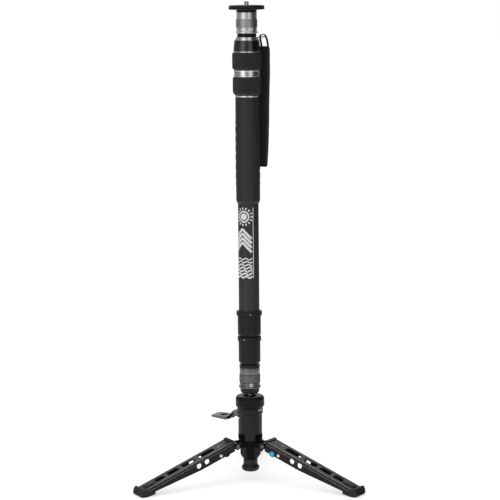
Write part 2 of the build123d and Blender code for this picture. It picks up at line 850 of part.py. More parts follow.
def make_section_collar(bottom, height, radius, lip_height, lip_radius, foot_radius, tube_radius, tube_bottom,
                        sliding_radius):
    """The collar at the foot of a tube, with room for the guide bush under the tube's end."""
    z_top = bottom + height
    bush_outer = sliding_radius + bush_wall
    z_bush = bottom + collar_wall_foot
    edge = (lip_radius - radius) / 2
    return turned([
        (sliding_radius + face_gap, bottom),
        (foot_radius, bottom),
        (radius, bottom + collar_chamfer_height),
        (radius, z_top - lip_height),
        (lip_radius, z_top - lip_height + edge),
        (lip_radius, z_top - edge),
        (lip_radius - edge, z_top),
        (tube_radius, z_top),
        (tube_radius, tube_bottom),
        (bush_outer, tube_bottom),
        (bush_outer, z_bush),
        (sliding_radius + face_gap, z_bush),
    ])


def make_guide_bush(bottom, sliding_radius):
    z_bush = bottom + collar_wall_foot
    return ring(z_bush, z_bush + bush_height, sliding_radius + bush_wall, sliding_radius + running_gap)


def make_column():
    parts = {}
    parts["outer_collar"] = make_section_collar(
        z_outer_collar, outer_collar_height, outer_collar_radius, outer_collar_lip_height,
        outer_collar_lip_radius, outer_collar_foot_radius, outer_tube_radius, outer_tube_bottom,
        middle_tube_radius)
    parts["middle_collar"] = make_section_collar(
        z_middle_collar, middle_collar_height, middle_collar_radius, middle_collar_lip_height,
        middle_collar_lip_radius, middle_collar_foot_radius, middle_tube_radius, middle_tube_bottom,
        inner_tube_radius)
    for name, tube_radius, lip_radius, lip_height, base, height, azimuth in (
            ("outer_collar", outer_tube_radius, outer_collar_lip_radius, outer_collar_lip_height,
             z_outer_collar, outer_collar_height, outer_collar_screw_azimuth),
            ("middle_collar", middle_tube_radius, middle_collar_lip_radius, middle_collar_lip_height,
             z_middle_collar, middle_collar_height, middle_collar_screw_azimuth)):
        z_screw = base + height - lip_height / 2
        hole = radial_pin(azimuth, z_screw, tube_radius, lip_radius + cut_over, collar_screw_radius)
        parts[name] -= hole
        parts[name + "_screw"] = radial_pin(azimuth, z_screw, tube_radius, lip_radius + collar_screw_proud,
                                            collar_screw_radius)
    parts["outer_guide_bush"] = make_guide_bush(z_outer_collar, middle_tube_radius)
    parts["middle_guide_bush"] = make_guide_bush(z_middle_collar, inner_tube_radius)
    parts["outer_tube"] = ring(outer_tube_bottom, outer_tube_top, outer_tube_radius,
                               outer_tube_radius - outer_tube_wall)
    parts["middle_tube"] = ring(middle_tube_bottom, middle_tube_top, middle_tube_radius,
                                middle_tube_radius - middle_tube_wall)
    parts["inner_tube"] = ring(inner_tube_bottom, inner_tube_top, inner_tube_radius,
                               inner_tube_radius - inner_tube_wall)
    parts["inner_tube_ring"] = make_tube_ring()
    parts["hand_grip"] = turned([
        (outer_tube_radius, z_grip),
        (grip_foot_radius, z_grip),
        (grip_radius, z_grip + grip_foot_chamfer),
        (grip_radius, z_head - grip_top_chamfer),
        (grip_radius - grip_top_chamfer, z_head),
        (outer_tube_radius, z_head),
    ])
    return parts


# Section locks inside the tubes

def make_lock_sleeve(tube_top, outer, spigot, cam_radius):
    """Sleeve on a tube's end that spreads against the tube round it, open at the top for its cam."""
    return turned([
        (lock_bore_radius, tube_top - lock_spigot_length),
        (spigot, tube_top - lock_spigot_length),
        (spigot, tube_top),
        (outer, tube_top),
        (outer, tube_top + lock_height),
        (cam_radius + running_gap, tube_top + lock_height),
        (cam_radius + running_gap, tube_top + lock_floor),
        (lock_bore_radius, tube_top + lock_floor),
    ])


def make_locks():
    parts = {}
    outer_bore = outer_tube_radius - outer_tube_wall
    middle_bore = middle_tube_radius - middle_tube_wall
    inner_bore = inner_tube_radius - inner_tube_wall
    parts["middle_lock_sleeve"] = make_lock_sleeve(
        middle_tube_top, outer_bore - running_gap, middle_bore, middle_cam_radius)
    parts["inner_lock_sleeve"] = make_lock_sleeve(
        inner_tube_top, middle_bore - running_gap, inner_bore, inner_cam_radius)
    z_cam = middle_tube_top + lock_floor + running_gap
    link_bottom = middle_tube_bottom + link_foot_rise
    cam = rod(middle_cam_radius, z_cam, z_cam + lock_cam_height)
    cam += hex_rod(link_tube_radius, link_bottom, z_cam + lock_cam_height)
    cam -= hex_rod(rod_radius + rod_fit, link_bottom - cut_over, z_cam + lock_cam_height + cut_over)
    parts["middle_lock_cam"] = cam
    z_inner_cam = inner_tube_top + lock_floor + running_gap
    inner_cam = rod(inner_cam_radius, z_inner_cam, z_inner_cam + lock_cam_height)
    inner_cam -= hex_rod(link_tube_radius + rod_fit, z_inner_cam - cut_over,
                         z_inner_cam + lock_cam_height + cut_over)
    parts["inner_lock_cam"] = inner_cam
    return parts


# Head

def drive_arms():
    z_mid = z_upper_ring + upper_ring_height * drive_arm_share
    bar = block(-drive_arm_reach, drive_arm_reach, -drive_arm_half, drive_arm_half,
                z_mid - drive_arm_height / 2, z_mid + drive_arm_height / 2)
    return bar & rod(drive_arm_reach, z_mid - drive_arm_height, z_mid + drive_arm_height)


def make_head_body():
    body = ring(z_head_body, z_head_cap, head_body_radius, outer_tube_radius)
    z_mid = z_upper_ring + upper_ring_height * drive_arm_share
    half_height = drive_arm_height / 2 + face_gap
    spread = degrees(asin(drive_arm_half / outer_tube_radius)) + twist_spare_angle
    window = turned([
        (outer_tube_radius - cut_over, z_mid - half_height),
        (head_body_radius + cut_over, z_mid - half_height),
        (head_body_radius + cut_over, z_mid + half_height),
        (outer_tube_radius - cut_over, z_mid + half_height),
    ], twist_range_angle + 2 * spread)
    for start in (0, half_turn):
        body -= Rot(0, 0, start - spread) * window
    return body


def make_twist_ring(bottom, height, radius, foot_radius, foot_height):
    z_top = bottom + height
    bore = head_body_radius + running_gap
    return turned([
        (bore, bottom),
        (foot_radius, bottom),
        (radius, bottom + foot_height),
        (radius, z_top - ring_edge_chamfer),
        (radius - ring_edge_chamfer, z_top),
        (bore, z_top),
    ])


def make_head_neck():
    z_top = z_upper_adapter
    z_groove_low = z_neck + head_neck_height * neck_groove_share[0]
    z_groove_high = z_neck + head_neck_height * neck_groove_share[1]
    groove_radius = head_neck_radius - neck_groove_depth
    spigot = adapter_bore_radius - running_gap
    body = turned([
        (0, z_neck - head_plug_length),
        (outer_tube_radius, z_neck - head_plug_length),
        (outer_tube_radius, z_neck),
        (head_neck_radius, z_neck),
        (head_neck_radius, z_groove_low),
        (groove_radius, z_groove_low),
        (groove_radius, z_groove_low + neck_groove_height),
        (head_neck_radius, z_groove_low + neck_groove_height),
        (head_neck_radius, z_groove_high),
        (groove_radius, z_groove_high),
        (groove_radius, z_groove_high + neck_groove_height),
        (head_neck_radius, z_groove_high + neck_groove_height),
        (head_neck_radius, z_top - face_gap),
        (spigot, z_top - face_gap),
        (spigot, z_top + head_spigot_length),
        (0, z_top + head_spigot_length),
    ])
    z_low = z_neck - head_plug_length
    return body - rod(rod_radius + running_gap, z_low - cut_over, z_low + rod_bearing_depth)


def make_head():
    parts = {}
    parts["lower_trim_ring"] = ring(z_head, z_head_body, lower_trim_radius, outer_tube_radius)
    parts["head_body"] = make_head_body()
    parts["lower_twist_ring"] = make_twist_ring(z_lower_ring, lower_ring_height, lower_ring_radius,
                                                lower_ring_foot_radius, lower_ring_foot_height)
    parts["index_band"] = ring(z_index, z_index + index_band_height, index_band_radius, head_body_radius)
    upper = make_twist_ring(z_upper_ring, upper_ring_height, upper_ring_radius,
                            upper_ring_radius - ring_edge_chamfer, ring_edge_chamfer)
    arms = drive_arms()
    parts["upper_twist_ring"] = upper - arms
    rod_top = z_neck - head_plug_length + rod_bearing_depth - face_gap
    parts["drive_rod"] = arms + hex_rod(rod_radius, outer_tube_bottom + rod_foot_rise, rod_top)
    parts["head_trim_ring"] = ring(z_head_trim, z_head_collar, head_trim_radius, head_body_radius)
    parts["head_collar"] = turned([
        (head_body_radius, z_head_collar),
        (head_collar_radius, z_head_collar),
        (head_collar_radius, z_head_collar + head_collar_band),
        (head_collar_top_radius, z_head_cap),
        (head_body_radius, z_head_cap),
    ])
    parts["head_cap_ring"] = turned([
        (outer_tube_radius, z_head_cap),
        (head_cap_radius, z_head_cap),
        (head_cap_top_radius, z_neck),
        (outer_tube_radius, z_neck),
    ])
    parts["head_neck"] = make_head_neck()
    return parts


def make_top():
    parts = {}
    z_spigot = z_upper_adapter + head_spigot_length
    spigot = adapter_bore_radius - running_gap
    stud_top = z_pad_top + stud_above_pad
    stud_low = stud_top - stud_length
    hub = turned([
        (0, z_spigot), (spigot, z_spigot), (spigot, z_plate_hub), (plate_hub_radius, z_plate_hub),
        (plate_hub_radius, z_plate), (0, z_plate),
    ])
    parts["plate_hub"] = hub - rod(stud_shank_radius, stud_low, z_plate + cut_over)
    rim = plate_rim_depth
    parts["camera_plate"] = turned([
        (stud_shank_radius, z_plate), (plate_radius - rim, z_plate), (plate_radius, z_plate + rim),
        (plate_radius, z_plate + plate_rim_height), (plate_radius - rim, z_plate + plate_rim_height + rim),
        (plate_radius - rim, z_pad - plate_rim_height - rim), (plate_radius, z_pad - plate_rim_height),
        (plate_radius, z_pad - rim), (plate_radius - rim, z_pad), (stud_shank_radius, z_pad),
    ])
    parts["plate_pad"] = ring(z_pad, z_pad_top, pad_radius, stud_shank_radius)
    parts["camera_stud"] = turned([
        (0, stud_low), (stud_shank_radius, stud_low), (stud_shank_radius, z_pad_top),
        (stud_radius, z_pad_top), (stud_radius, stud_top - stud_chamfer),
        (stud_radius - stud_chamfer, stud_top), (0, stud_top),
    ])
    return parts


# Wrist strap

def strap_place(height=0):
    """Puts a body modelled about the strap's middle, with X along the strap's width, at its place."""
    return Pos(strap_x, strap_y, height) * Rot(0, 0, strap_turn)


def make_strap_lug():
    """A ring round the neck with a skewed eye for the webbing."""
    bottom = z_neck + lug_gap
    eye_middle = (lug_eye_start + lug_eye_end) / 2
    eye_outline = RectangleRounded(lug_eye_end - lug_eye_start, 2 * lug_eye_half, lug_eye_radius)
    eye = strap_place(bottom) * Pos(eye_middle, 0, 0) * extrude(eye_outline, lug_thickness)
    place = (strap_place() * Pos(eye_middle, 0, 0)).position
    web = block(0, hypot(place.X, place.Y), -lug_web_half, lug_web_half, bottom, bottom + lug_thickness)
    azimuth = degrees(atan2(place.Y, place.X))
    slot_outline = RectangleRounded(lug_slot_end - lug_slot_start, 2 * lug_slot_half, lug_slot_radius)
    slot = strap_place(bottom - cut_over) * Pos((lug_slot_start + lug_slot_end) / 2, 0, 0) * extrude(
        slot_outline, lug_thickness + 2 * cut_over)
    body = rod(lug_ring_radius, bottom, bottom + lug_thickness) + Rot(0, 0, azimuth) * web + eye
    return body - slot - rod(head_neck_radius, bottom - cut_over, bottom + lug_thickness + cut_over)


def strap_section(height, lean):
    outline = RectangleRounded(strap_width, strap_thickness, strap_edge_radius)
    return Pos(lean, 0, 0) * strap_place(height) * outline


def make_wrist_strap():
    z_top = z_neck - strap_drop
    z_low = z_top - strap_length
    sections = [strap_section(z_low + share * strap_length, lean)
                for share, lean in zip(strap_rise_share, strap_lean)]
    return loft(sections, ruled=True)


def make_webbing():
    """Narrow webbing from the strap's top through the lug's slot and back, as one bent band."""
    z_strap = z_neck - strap_drop
    z_lug = z_neck + lug_gap + lug_thickness / 2
    slot_middle = (lug_slot_start + lug_slot_end) / 2
    path = FilletPolyline(
        (webbing_inner, z_strap),
        (webbing_inner, z_strap + webbing_root),
        (webbing_bow, z_lug - webbing_bow_drop),
        (slot_middle, z_lug - lug_thickness),
        (slot_middle, z_lug + webbing_crown),
        (webbing_shoulder, z_lug + webbing_crown),
        (webbing_shoulder, z_lug - lug_thickness),
        (webbing_outer, z_strap + webbing_root),
        (webbing_outer, z_strap),
        radius=webbing_bend_radius)
    band = extrude(trace(path, webbing_thickness), webbing_half_width, both=True)
    return strap_place() * Rot(90, 0, 0) * band


sub_parts = {
    "rubber_foot": make_rubber_foot(),
    "foot_post": make_foot_post(),
    "leg_hub": make_leg_hub(),
    "hinge_pins": make_hinge_pins(),
    "hinge_bushes": make_hinge_bushes(),
    "base_housing": make_housing(),
    "pedal": make_pedal(),
    "pedal_pin": make_pedal_pin(),
    "ball_liner": make_ball_liner(),
    "ball_stem": make_ball_stem(),
    "friction_collar": make_friction_collar(),
    "column_bowl": make_column_bowl(),
    "lower_adapter": make_adapter(z_lower_adapter, lower_adapter_screw_azimuth),
    "lower_adapter_screw": make_adapter_screw(z_lower_adapter, lower_adapter_screw_azimuth),
    "upper_adapter": make_adapter(z_upper_adapter, upper_adapter_screw_azimuth),
    "upper_adapter_screw": make_adapter_screw(z_upper_adapter, upper_adapter_screw_azimuth),
    "strap_lug": make_strap_lug(),
    "strap_webbing": make_webbing(),
    "wrist_strap": make_wrist_strap(),
}
sub_parts.update(make_legs())
sub_parts.update(make_column())
sub_parts.update(make_locks())
sub_parts.update(make_head())
sub_parts.update(make_top())

os.makedirs("parts", exist_ok=True)
for name, shape in sub_parts.items():
    export_step(shape, f"parts/{name}.step")
print(len(sub_parts), "sub-parts,", "leg slope", round(degrees(leg_slope), 2), "degrees,",
      "height", round(z_pad_top + stud_above_pad, 1), "mm")
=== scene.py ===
# %% [markdown]
# # A camera monopod with folding feet
# The CAD model already has every tube, ring, leg and joint at its true size.
# This notebook loads it as a fixed frame and dresses it for a picture. Parts
# whose shape is right only get a finish. Ribs, knurls, thread, cloth and
# stitching are too fine for the solids, so they are made here as surfaces
# worked out with numpy. All lengths below are millimetres until `mm` turns
# them into Blender's metres.

import json

import bpy
import numpy as np
from mathutils import Matrix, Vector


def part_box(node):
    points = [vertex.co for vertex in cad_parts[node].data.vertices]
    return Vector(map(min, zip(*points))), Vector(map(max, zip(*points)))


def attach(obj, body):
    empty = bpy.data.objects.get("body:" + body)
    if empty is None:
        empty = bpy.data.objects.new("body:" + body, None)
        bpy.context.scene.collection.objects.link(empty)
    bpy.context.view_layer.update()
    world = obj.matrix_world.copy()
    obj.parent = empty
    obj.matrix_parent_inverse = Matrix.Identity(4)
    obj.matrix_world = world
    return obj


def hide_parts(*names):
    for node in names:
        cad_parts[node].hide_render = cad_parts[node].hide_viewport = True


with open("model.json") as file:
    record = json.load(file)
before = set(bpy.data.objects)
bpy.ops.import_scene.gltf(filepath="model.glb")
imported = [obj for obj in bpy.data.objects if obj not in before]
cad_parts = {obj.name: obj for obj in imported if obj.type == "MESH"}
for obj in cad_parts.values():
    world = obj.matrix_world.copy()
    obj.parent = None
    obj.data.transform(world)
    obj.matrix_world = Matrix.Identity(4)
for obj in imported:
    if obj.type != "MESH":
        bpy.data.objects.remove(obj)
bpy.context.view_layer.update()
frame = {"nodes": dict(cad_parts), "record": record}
nodes = frame["nodes"]
scene = bpy.context.scene
mm = 0.001


def level(node):
    """The foot and the top of a CAD node, in millimetres above the floor."""
    low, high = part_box(node)
    return low[2] / mm, high[2] / mm


def unit(vectors):
    """Vectors along the last axis, each divided by its length."""
    return vectors / np.linalg.norm(vectors, axis=-1, keepdims=True)


def full_circle(steps):
    """Angles that divide a full turn evenly, in radians."""
    return np.linspace(0, 2 * np.pi, steps, endpoint=False)


def polar(radius, angle, height):
    """Points round the column: (r cos a, r sin a, z)."""
    return np.stack(np.broadcast_arrays(radius * np.cos(angle), radius * np.sin(angle), height), axis=-1)


def add_object(name, data):
    made = bpy.data.objects.new(name, data)
    scene.collection.objects.link(made)
    return made


def stand(made, axes, place):
    """Puts an object at a place, with its own X, Y and Z along the three axes."""
    pose = np.eye(4)
    pose[:3, :3] = np.stack(axes, axis=1)
    pose[:3, 3] = place
    made.matrix_world = Matrix(pose.tolist())


# %% [markdown]
# ## The camera
# A long lens from three metres looks slightly down on the column, so its rings
# show as shallow ellipses. The numbers come from fitting the model's edges to
# the picture. The frame is shifted instead of tilting the camera further,
# because a tilt would make the column taper.

# %% Camera
look_down, lean, turn = np.radians([6.5, 0.506, 1.661])
camera_distance = 3.0
ahead = np.array([0, np.cos(look_down), -np.sin(look_down)])
up = np.array([0, np.sin(look_down), np.cos(look_down)])
right = np.array([1.0, 0, 0])
right, up = right * np.cos(lean) - up * np.sin(lean), up * np.cos(lean) + right * np.sin(lean)
about_z = np.array([[np.cos(turn), -np.sin(turn), 0], [np.sin(turn), np.cos(turn), 0], [0, 0, 1]])
place = about_z @ (np.array([2.75, 0, 429.641]) * mm - camera_distance * ahead)

camera_data = bpy.data.cameras.new("camera")
camera_data.lens = 152.06
camera_data.sensor_width = 36
camera_data.shift_y = -0.132
camera = add_object("camera", camera_data)
stand(camera, [about_z @ axis for axis in (right, up, -ahead)], place)
scene.camera = camera
print("camera at", np.round(place, 3))

# %% [markdown]
# ## The studio
# The real picture was lit by big soft panels in a pale room, with dark walls
# beside the object that give polished rings their dark stripes. The world is
# a plain level of light for everything matt, and white where a camera or a
# reflection looks at it. A round wall of light and dark stripes is seen by
# reflections only: it draws stripes into the metal, open towards the back, and
# leaves the light on matt surfaces alone.

# %% World and floor
def add_node(tree, kind, inputs=None, **settings):
    """A new shader node with its settings. inputs gives sockets, by name or number,
    a value or the output of another node."""
    made = tree.nodes.new(kind)
    for key, value in settings.items():
        setattr(made, key, value)
    for key, value in (inputs or {}).items():
        if isinstance(value, bpy.types.NodeSocket):
            tree.links.new(value, made.inputs[key])
        else:
            made.inputs[key].default_value = value
    return made


def maths(tree, operation, *values):
    """The output of a math node on numbers or other outputs."""
    return add_node(tree, "ShaderNodeMath", dict(enumerate(values)), operation=operation).outputs[0]


def map_range(tree, value, low, high, to_low=0.0, to_high=1.0):
    """The output of a node that stretches low..high to to_low..to_high."""
    ends = dict(enumerate((value, low, high, to_low, to_high)))
    return add_node(tree, "ShaderNodeMapRange", ends).outputs[0]


def emptied(owner):
    """The node tree of a world or material, with nothing in it."""
    owner.use_nodes = True
    owner.node_tree.nodes.clear()
    return owner.node_tree


def seen_directly(tree):
    """1 for rays from the camera, from a reflection or through glass, 0 for all other light."""
    path = add_node(tree, "ShaderNodeLightPath").outputs
    pair = maths(tree, "MAXIMUM", path["Is Camera Ray"], path["Is Glossy Ray"])
    return maths(tree, "MAXIMUM", pair, path["Is Transmission Ray"])


scene.view_settings.view_transform = "Standard"
scene.world = bpy.data.worlds.new("studio_world")
tree = emptied(scene.world)
room_level = 0.5
world_level = map_range(tree, seen_directly(tree), 0.0, 1.0, room_level, 1.0)
world_light = add_node(tree, "ShaderNodeBackground", {0: (1, 1, 1, 1), "Strength": world_level})
add_node(tree, "ShaderNodeOutputWorld", {0: world_light.outputs[0]})

floor_half, floor_glow = 14, 0.56
corners = [(x * floor_half, y * floor_half, 0) for x, y in ((-1, -1), (1, -1), (1, 1), (-1, 1))]
floor_mesh = bpy.data.meshes.new("floor")
floor_mesh.from_pydata(corners, [], [(0, 1, 2, 3)])
floor = add_object("floor", floor_mesh)
floor_paint = bpy.data.materials.new("floor_paint")
tree = emptied(floor_paint)
paint = add_node(tree, "ShaderNodeBsdfPrincipled", {"Base Color": (0.86, 0.86, 0.86, 1), "Roughness": 0.8})
glow_level = maths(tree, "MULTIPLY", seen_directly(tree), floor_glow)
glow = add_node(tree, "ShaderNodeEmission", {"Strength": glow_level})
floor_sum = add_node(tree, "ShaderNodeAddShader", {0: paint.outputs[0], 1: glow.outputs[0]})
add_node(tree, "ShaderNodeOutputMaterial", {0: floor_sum.outputs[0]})
floor_mesh.materials.append(floor_paint)
print("a white world and a floor of", 2 * floor_half, "m")

# %% Soft panels
aimed_at = np.array([0, 0, 0.4])


def soft_panel(name, azimuth, distance, height, size, watts):
    """A rectangular lamp that faces the middle of the column from the given azimuth."""
    lamp = bpy.data.lights.new(name, "AREA")
    lamp.shape = "RECTANGLE"
    lamp.size, lamp.size_y = size
    lamp.energy = watts
    made = add_object(name, lamp)
    seat = polar(distance, np.radians(azimuth), height)
    back = unit(seat - aimed_at)
    side = unit(np.cross([0, 0, 1.0], back))
    stand(made, [side, np.cross(back, side), back], seat)
    made.visible_camera = False


soft_panel("left_panel", -148, 1.7, 1.1, (1.2, 1.6), 5.0)
soft_panel("front_panel", -76, 3.6, 1.3, (1.4, 1.6), 6.0)
soft_panel("top_panel", -100, 0.9, 2.3, (1.5, 1.5), 7.0)

# %% Reflected walls
camera_azimuth = -88.34


def reflected_wall(name, stripes, radius=1.0, top=2.6, steps=241):
    """A round wall whose tone at an azimuth is read off a line through (azimuth, tone) pairs.
    Azimuths count from the camera's own, to its right; the wall is seen by reflections only."""
    azimuths, tones = np.transpose(stripes)
    rel = np.linspace(azimuths[0], azimuths[-1], steps)
    foot = polar(radius, np.radians(rel + camera_azimuth), 0.002)
    points = np.concatenate([foot, foot + [0, 0, top]])
    i = np.arange(steps - 1)
    faces = np.stack([i, i + 1, i + 1 + steps, i + steps], axis=1)
    mesh = bpy.data.meshes.new(name)
    mesh.from_pydata(points.tolist(), [], faces.tolist())
    tone = np.tile(np.interp(rel, azimuths, tones), 2).astype(np.float32)
    mesh.attributes.new("tone", "FLOAT", "POINT").data.foreach_set("value", tone)
    made = add_object(name, mesh)
    made.visible_camera = made.visible_diffuse = made.visible_shadow = False
    made.visible_transmission = made.visible_volume_scatter = False
    paper = bpy.data.materials.new(name + "_paper")
    tree = emptied(paper)
    reading = add_node(tree, "ShaderNodeAttribute", attribute_name="tone")
    shine = add_node(tree, "ShaderNodeEmission", {"Strength": reading.outputs["Fac"]})
    add_node(tree, "ShaderNodeOutputMaterial", {0: shine.outputs[0]})
    mesh.materials.append(paper)


reflected_wall("studio_wall", [
    (-153, 1.0), (-146, 0.42), (-110, 0.26), (-78, 0.22), (-64, 0.34), (-48, 0.75), (-36, 1.05),
    (-26, 1.0), (-18, 0.55), (-4, 0.2), (8, 0.24), (18, 0.55), (30, 0.68), (42, 0.5), (54, 0.1),
    (64, 0.04), (108, 0.05), (116, 0.14), (132, 0.08), (144, 0.2), (153, 1.0)])
print("three panels and a reflected wall stand round the column")

# %% [markdown]
# ## Effects that the finishes share
# A real surface is never one even colour. Fine grain, faint turning lines and
# lighter worn edges are needed by many finishes, so each is a node group that
# gives only values: a height for bump, a tone for colour and roughness, or a
# mask. The shader itself stays in each material, where its own numbers are set.

# %% Node groups
def new_group(name, inputs, outputs):
    """An empty shader node group with float or vector sockets, and the outputs of its input node."""
    group = bpy.data.node_groups.new(name, "ShaderNodeTree")
    for way, sockets in (("INPUT", inputs), ("OUTPUT", outputs)):
        for socket in sockets:
            kind = "NodeSocketVector" if socket in ("Vector", "Normal") else "NodeSocketFloat"
            group.interface.new_socket(socket, in_out=way, socket_type=kind)
    return group, add_node(group, "NodeGroupInput").outputs


def make_grain():
    """Height is fine noise; Tone is noise eleven times broader, from 0 to 1."""
    group, given = new_group("surface_grain", ["Vector", "Scale"], ["Height", "Tone"])
    vector, scale = given["Vector"], given["Scale"]
    fine = add_node(group, "ShaderNodeTexNoise", {"Detail": 4, "Vector": vector, "Scale": scale})
    broad_scale = maths(group, "MULTIPLY", scale, 0.09)
    broad = add_node(group, "ShaderNodeTexNoise", {"Detail": 5, "Vector": vector, "Scale": broad_scale})
    tone = map_range(group, broad.outputs[0], 0.3, 0.7)
    add_node(group, "NodeGroupOutput", {"Height": fine.outputs[0], "Tone": tone})
    return group


def make_turning():
    """Height is noise that changes along Z only, as the lines that a lathe tool leaves."""
    group, given = new_group("turning_lines", ["Vector", "Scale"], ["Height"])
    along = add_node(group, "ShaderNodeVectorMath", {0: given["Vector"], 1: (0.004, 0.004, 1)},
                     operation="MULTIPLY").outputs[0]
    lines = add_node(group, "ShaderNodeTexNoise", {"Detail": 3, "Vector": along, "Scale": given["Scale"]})
    add_node(group, "NodeGroupOutput", {"Height": lines.outputs[0]})
    return group


def make_soft_edge():
    """Normal is the surface's own with its edges rounded; Wear is how far the two part, broken up by Tone."""
    group, given = new_group("soft_edge", ["Radius", "Tone"], ["Normal", "Wear"])
    rounded = add_node(group, "ShaderNodeBevel", {"Radius": given["Radius"]}, samples=4).outputs[0]
    plain = add_node(group, "ShaderNodeNewGeometry").outputs["Normal"]
    facing = add_node(group, "ShaderNodeVectorMath", {0: rounded, 1: plain}, operation="DOT_PRODUCT")
    parted = map_range(group, facing.outputs["Value"], 0.99, 0.82)
    wear = maths(group, "MULTIPLY", parted, given["Tone"])
    add_node(group, "NodeGroupOutput", {"Normal": rounded, "Wear": wear})
    return group


def make_weave():
    """Height of a plain weave on a UV map in millimetres: two crossed sets of waves, multiplied."""
    group, given = new_group("plain_weave", ["Vector", "Scale"], ["Height"])
    sized = add_node(group, "ShaderNodeVectorMath", {0: given["Vector"], "Scale": given["Scale"]},
                     operation="SCALE")
    parts = add_node(group, "ShaderNodeSeparateXYZ", {0: sized.outputs[0]}).outputs
    crossed = maths(group, "MULTIPLY", maths(group, "SINE", parts[0]), maths(group, "SINE", parts[1]))
    add_node(group, "NodeGroupOutput", {"Height": map_range(group, crossed, -1.0, 1.0)})
    return group


effects = {
    "grain": make_grain(),
    "turning": make_turning(),
    "soft_edge": make_soft_edge(),
    "weave": make_weave(),
}
print("effects:", ", ".join(effects))

# %% [markdown]
# ## The finishes
# One helper builds every finish from the same recipe: two close colours mixed
# by the broad tone, a roughness that drifts with it, a fine bump, and a worn
# colour on edges. What differs is the recipe's numbers, so black anodised
# metal, moulded rubber and turned aluminium come from one place.

# %% One recipe for all finishes
def colour(tone):
    """A tuple is a linear colour; a number is a neutral tone written as a picture's 0 to 255 level."""
    if isinstance(tone, tuple):
        return (*tone, 1)
    c = tone / 255
    linear = c / 12.92 if c <= 0.04045 else ((c + 0.055) / 1.055) ** 2.4
    return (linear, linear, linear, 1)


def finish(name, tones, roughness, metal=0.0, specular=0.5, sheen=0.0, grain=1600.0, depth=0.04,
           lines=0.0, weave=0.0, edge=0.35, worn=None, wear_share=0.5):
    """A Principled material. Its colour runs from the first tone to the second with Tone, then to worn
    with Wear, and its roughness runs with Tone too. Depth is the bump's height in millimetres."""
    made = bpy.data.materials.new(name)
    tree = emptied(made)
    where = add_node(tree, "ShaderNodeTexCoord").outputs

    def group(effect, inputs):
        return add_node(tree, "ShaderNodeGroup", inputs, node_tree=effects[effect]).outputs

    def mix(factor, first, second, blend="MIX"):
        sockets = {0: factor, 6: first, 7: second}
        return add_node(tree, "ShaderNodeMix", sockets, data_type="RGBA", blend_type=blend).outputs[2]

    grain_out = group("grain", {"Scale": grain, "Vector": where["Object"]})
    tone, height = grain_out["Tone"], grain_out["Height"]
    edges = group("soft_edge", {"Radius": edge * mm, "Tone": tone})
    base = mix(tone, colour(tones[0]), colour(tones[1]))
    if worn is not None:
        base = mix(maths(tree, "MULTIPLY", edges["Wear"], wear_share), base, colour(worn))
    for effect, scale, source in (("turning", lines, "Object"), ("weave", weave, "UV")):
        if scale:
            extra = group(effect, {"Scale": scale, "Vector": where[source]})["Height"]
            sockets = {0: 0.75, 2: height, 3: extra}
            height = add_node(tree, "ShaderNodeMix", sockets, data_type="FLOAT").outputs[0]
    if weave:
        base = mix(0.6, base, height, "MULTIPLY")
    bump = add_node(tree, "ShaderNodeBump", {"Strength": 0.6, "Distance": depth * mm, "Height": height,
                                             "Normal": edges["Normal"]})
    shader = add_node(tree, "ShaderNodeBsdfPrincipled", {
        "Base Color": base, "Metallic": metal, "Roughness": map_range(tree, tone, 0.0, 1.0, *roughness),
        "Specular IOR Level": specular, "Sheen Weight": sheen, "Normal": bump.outputs[0]})
    add_node(tree, "ShaderNodeOutputMaterial", {0: shader.outputs[0]})
    return made


print("the recipe joins", len(effects), "effects")

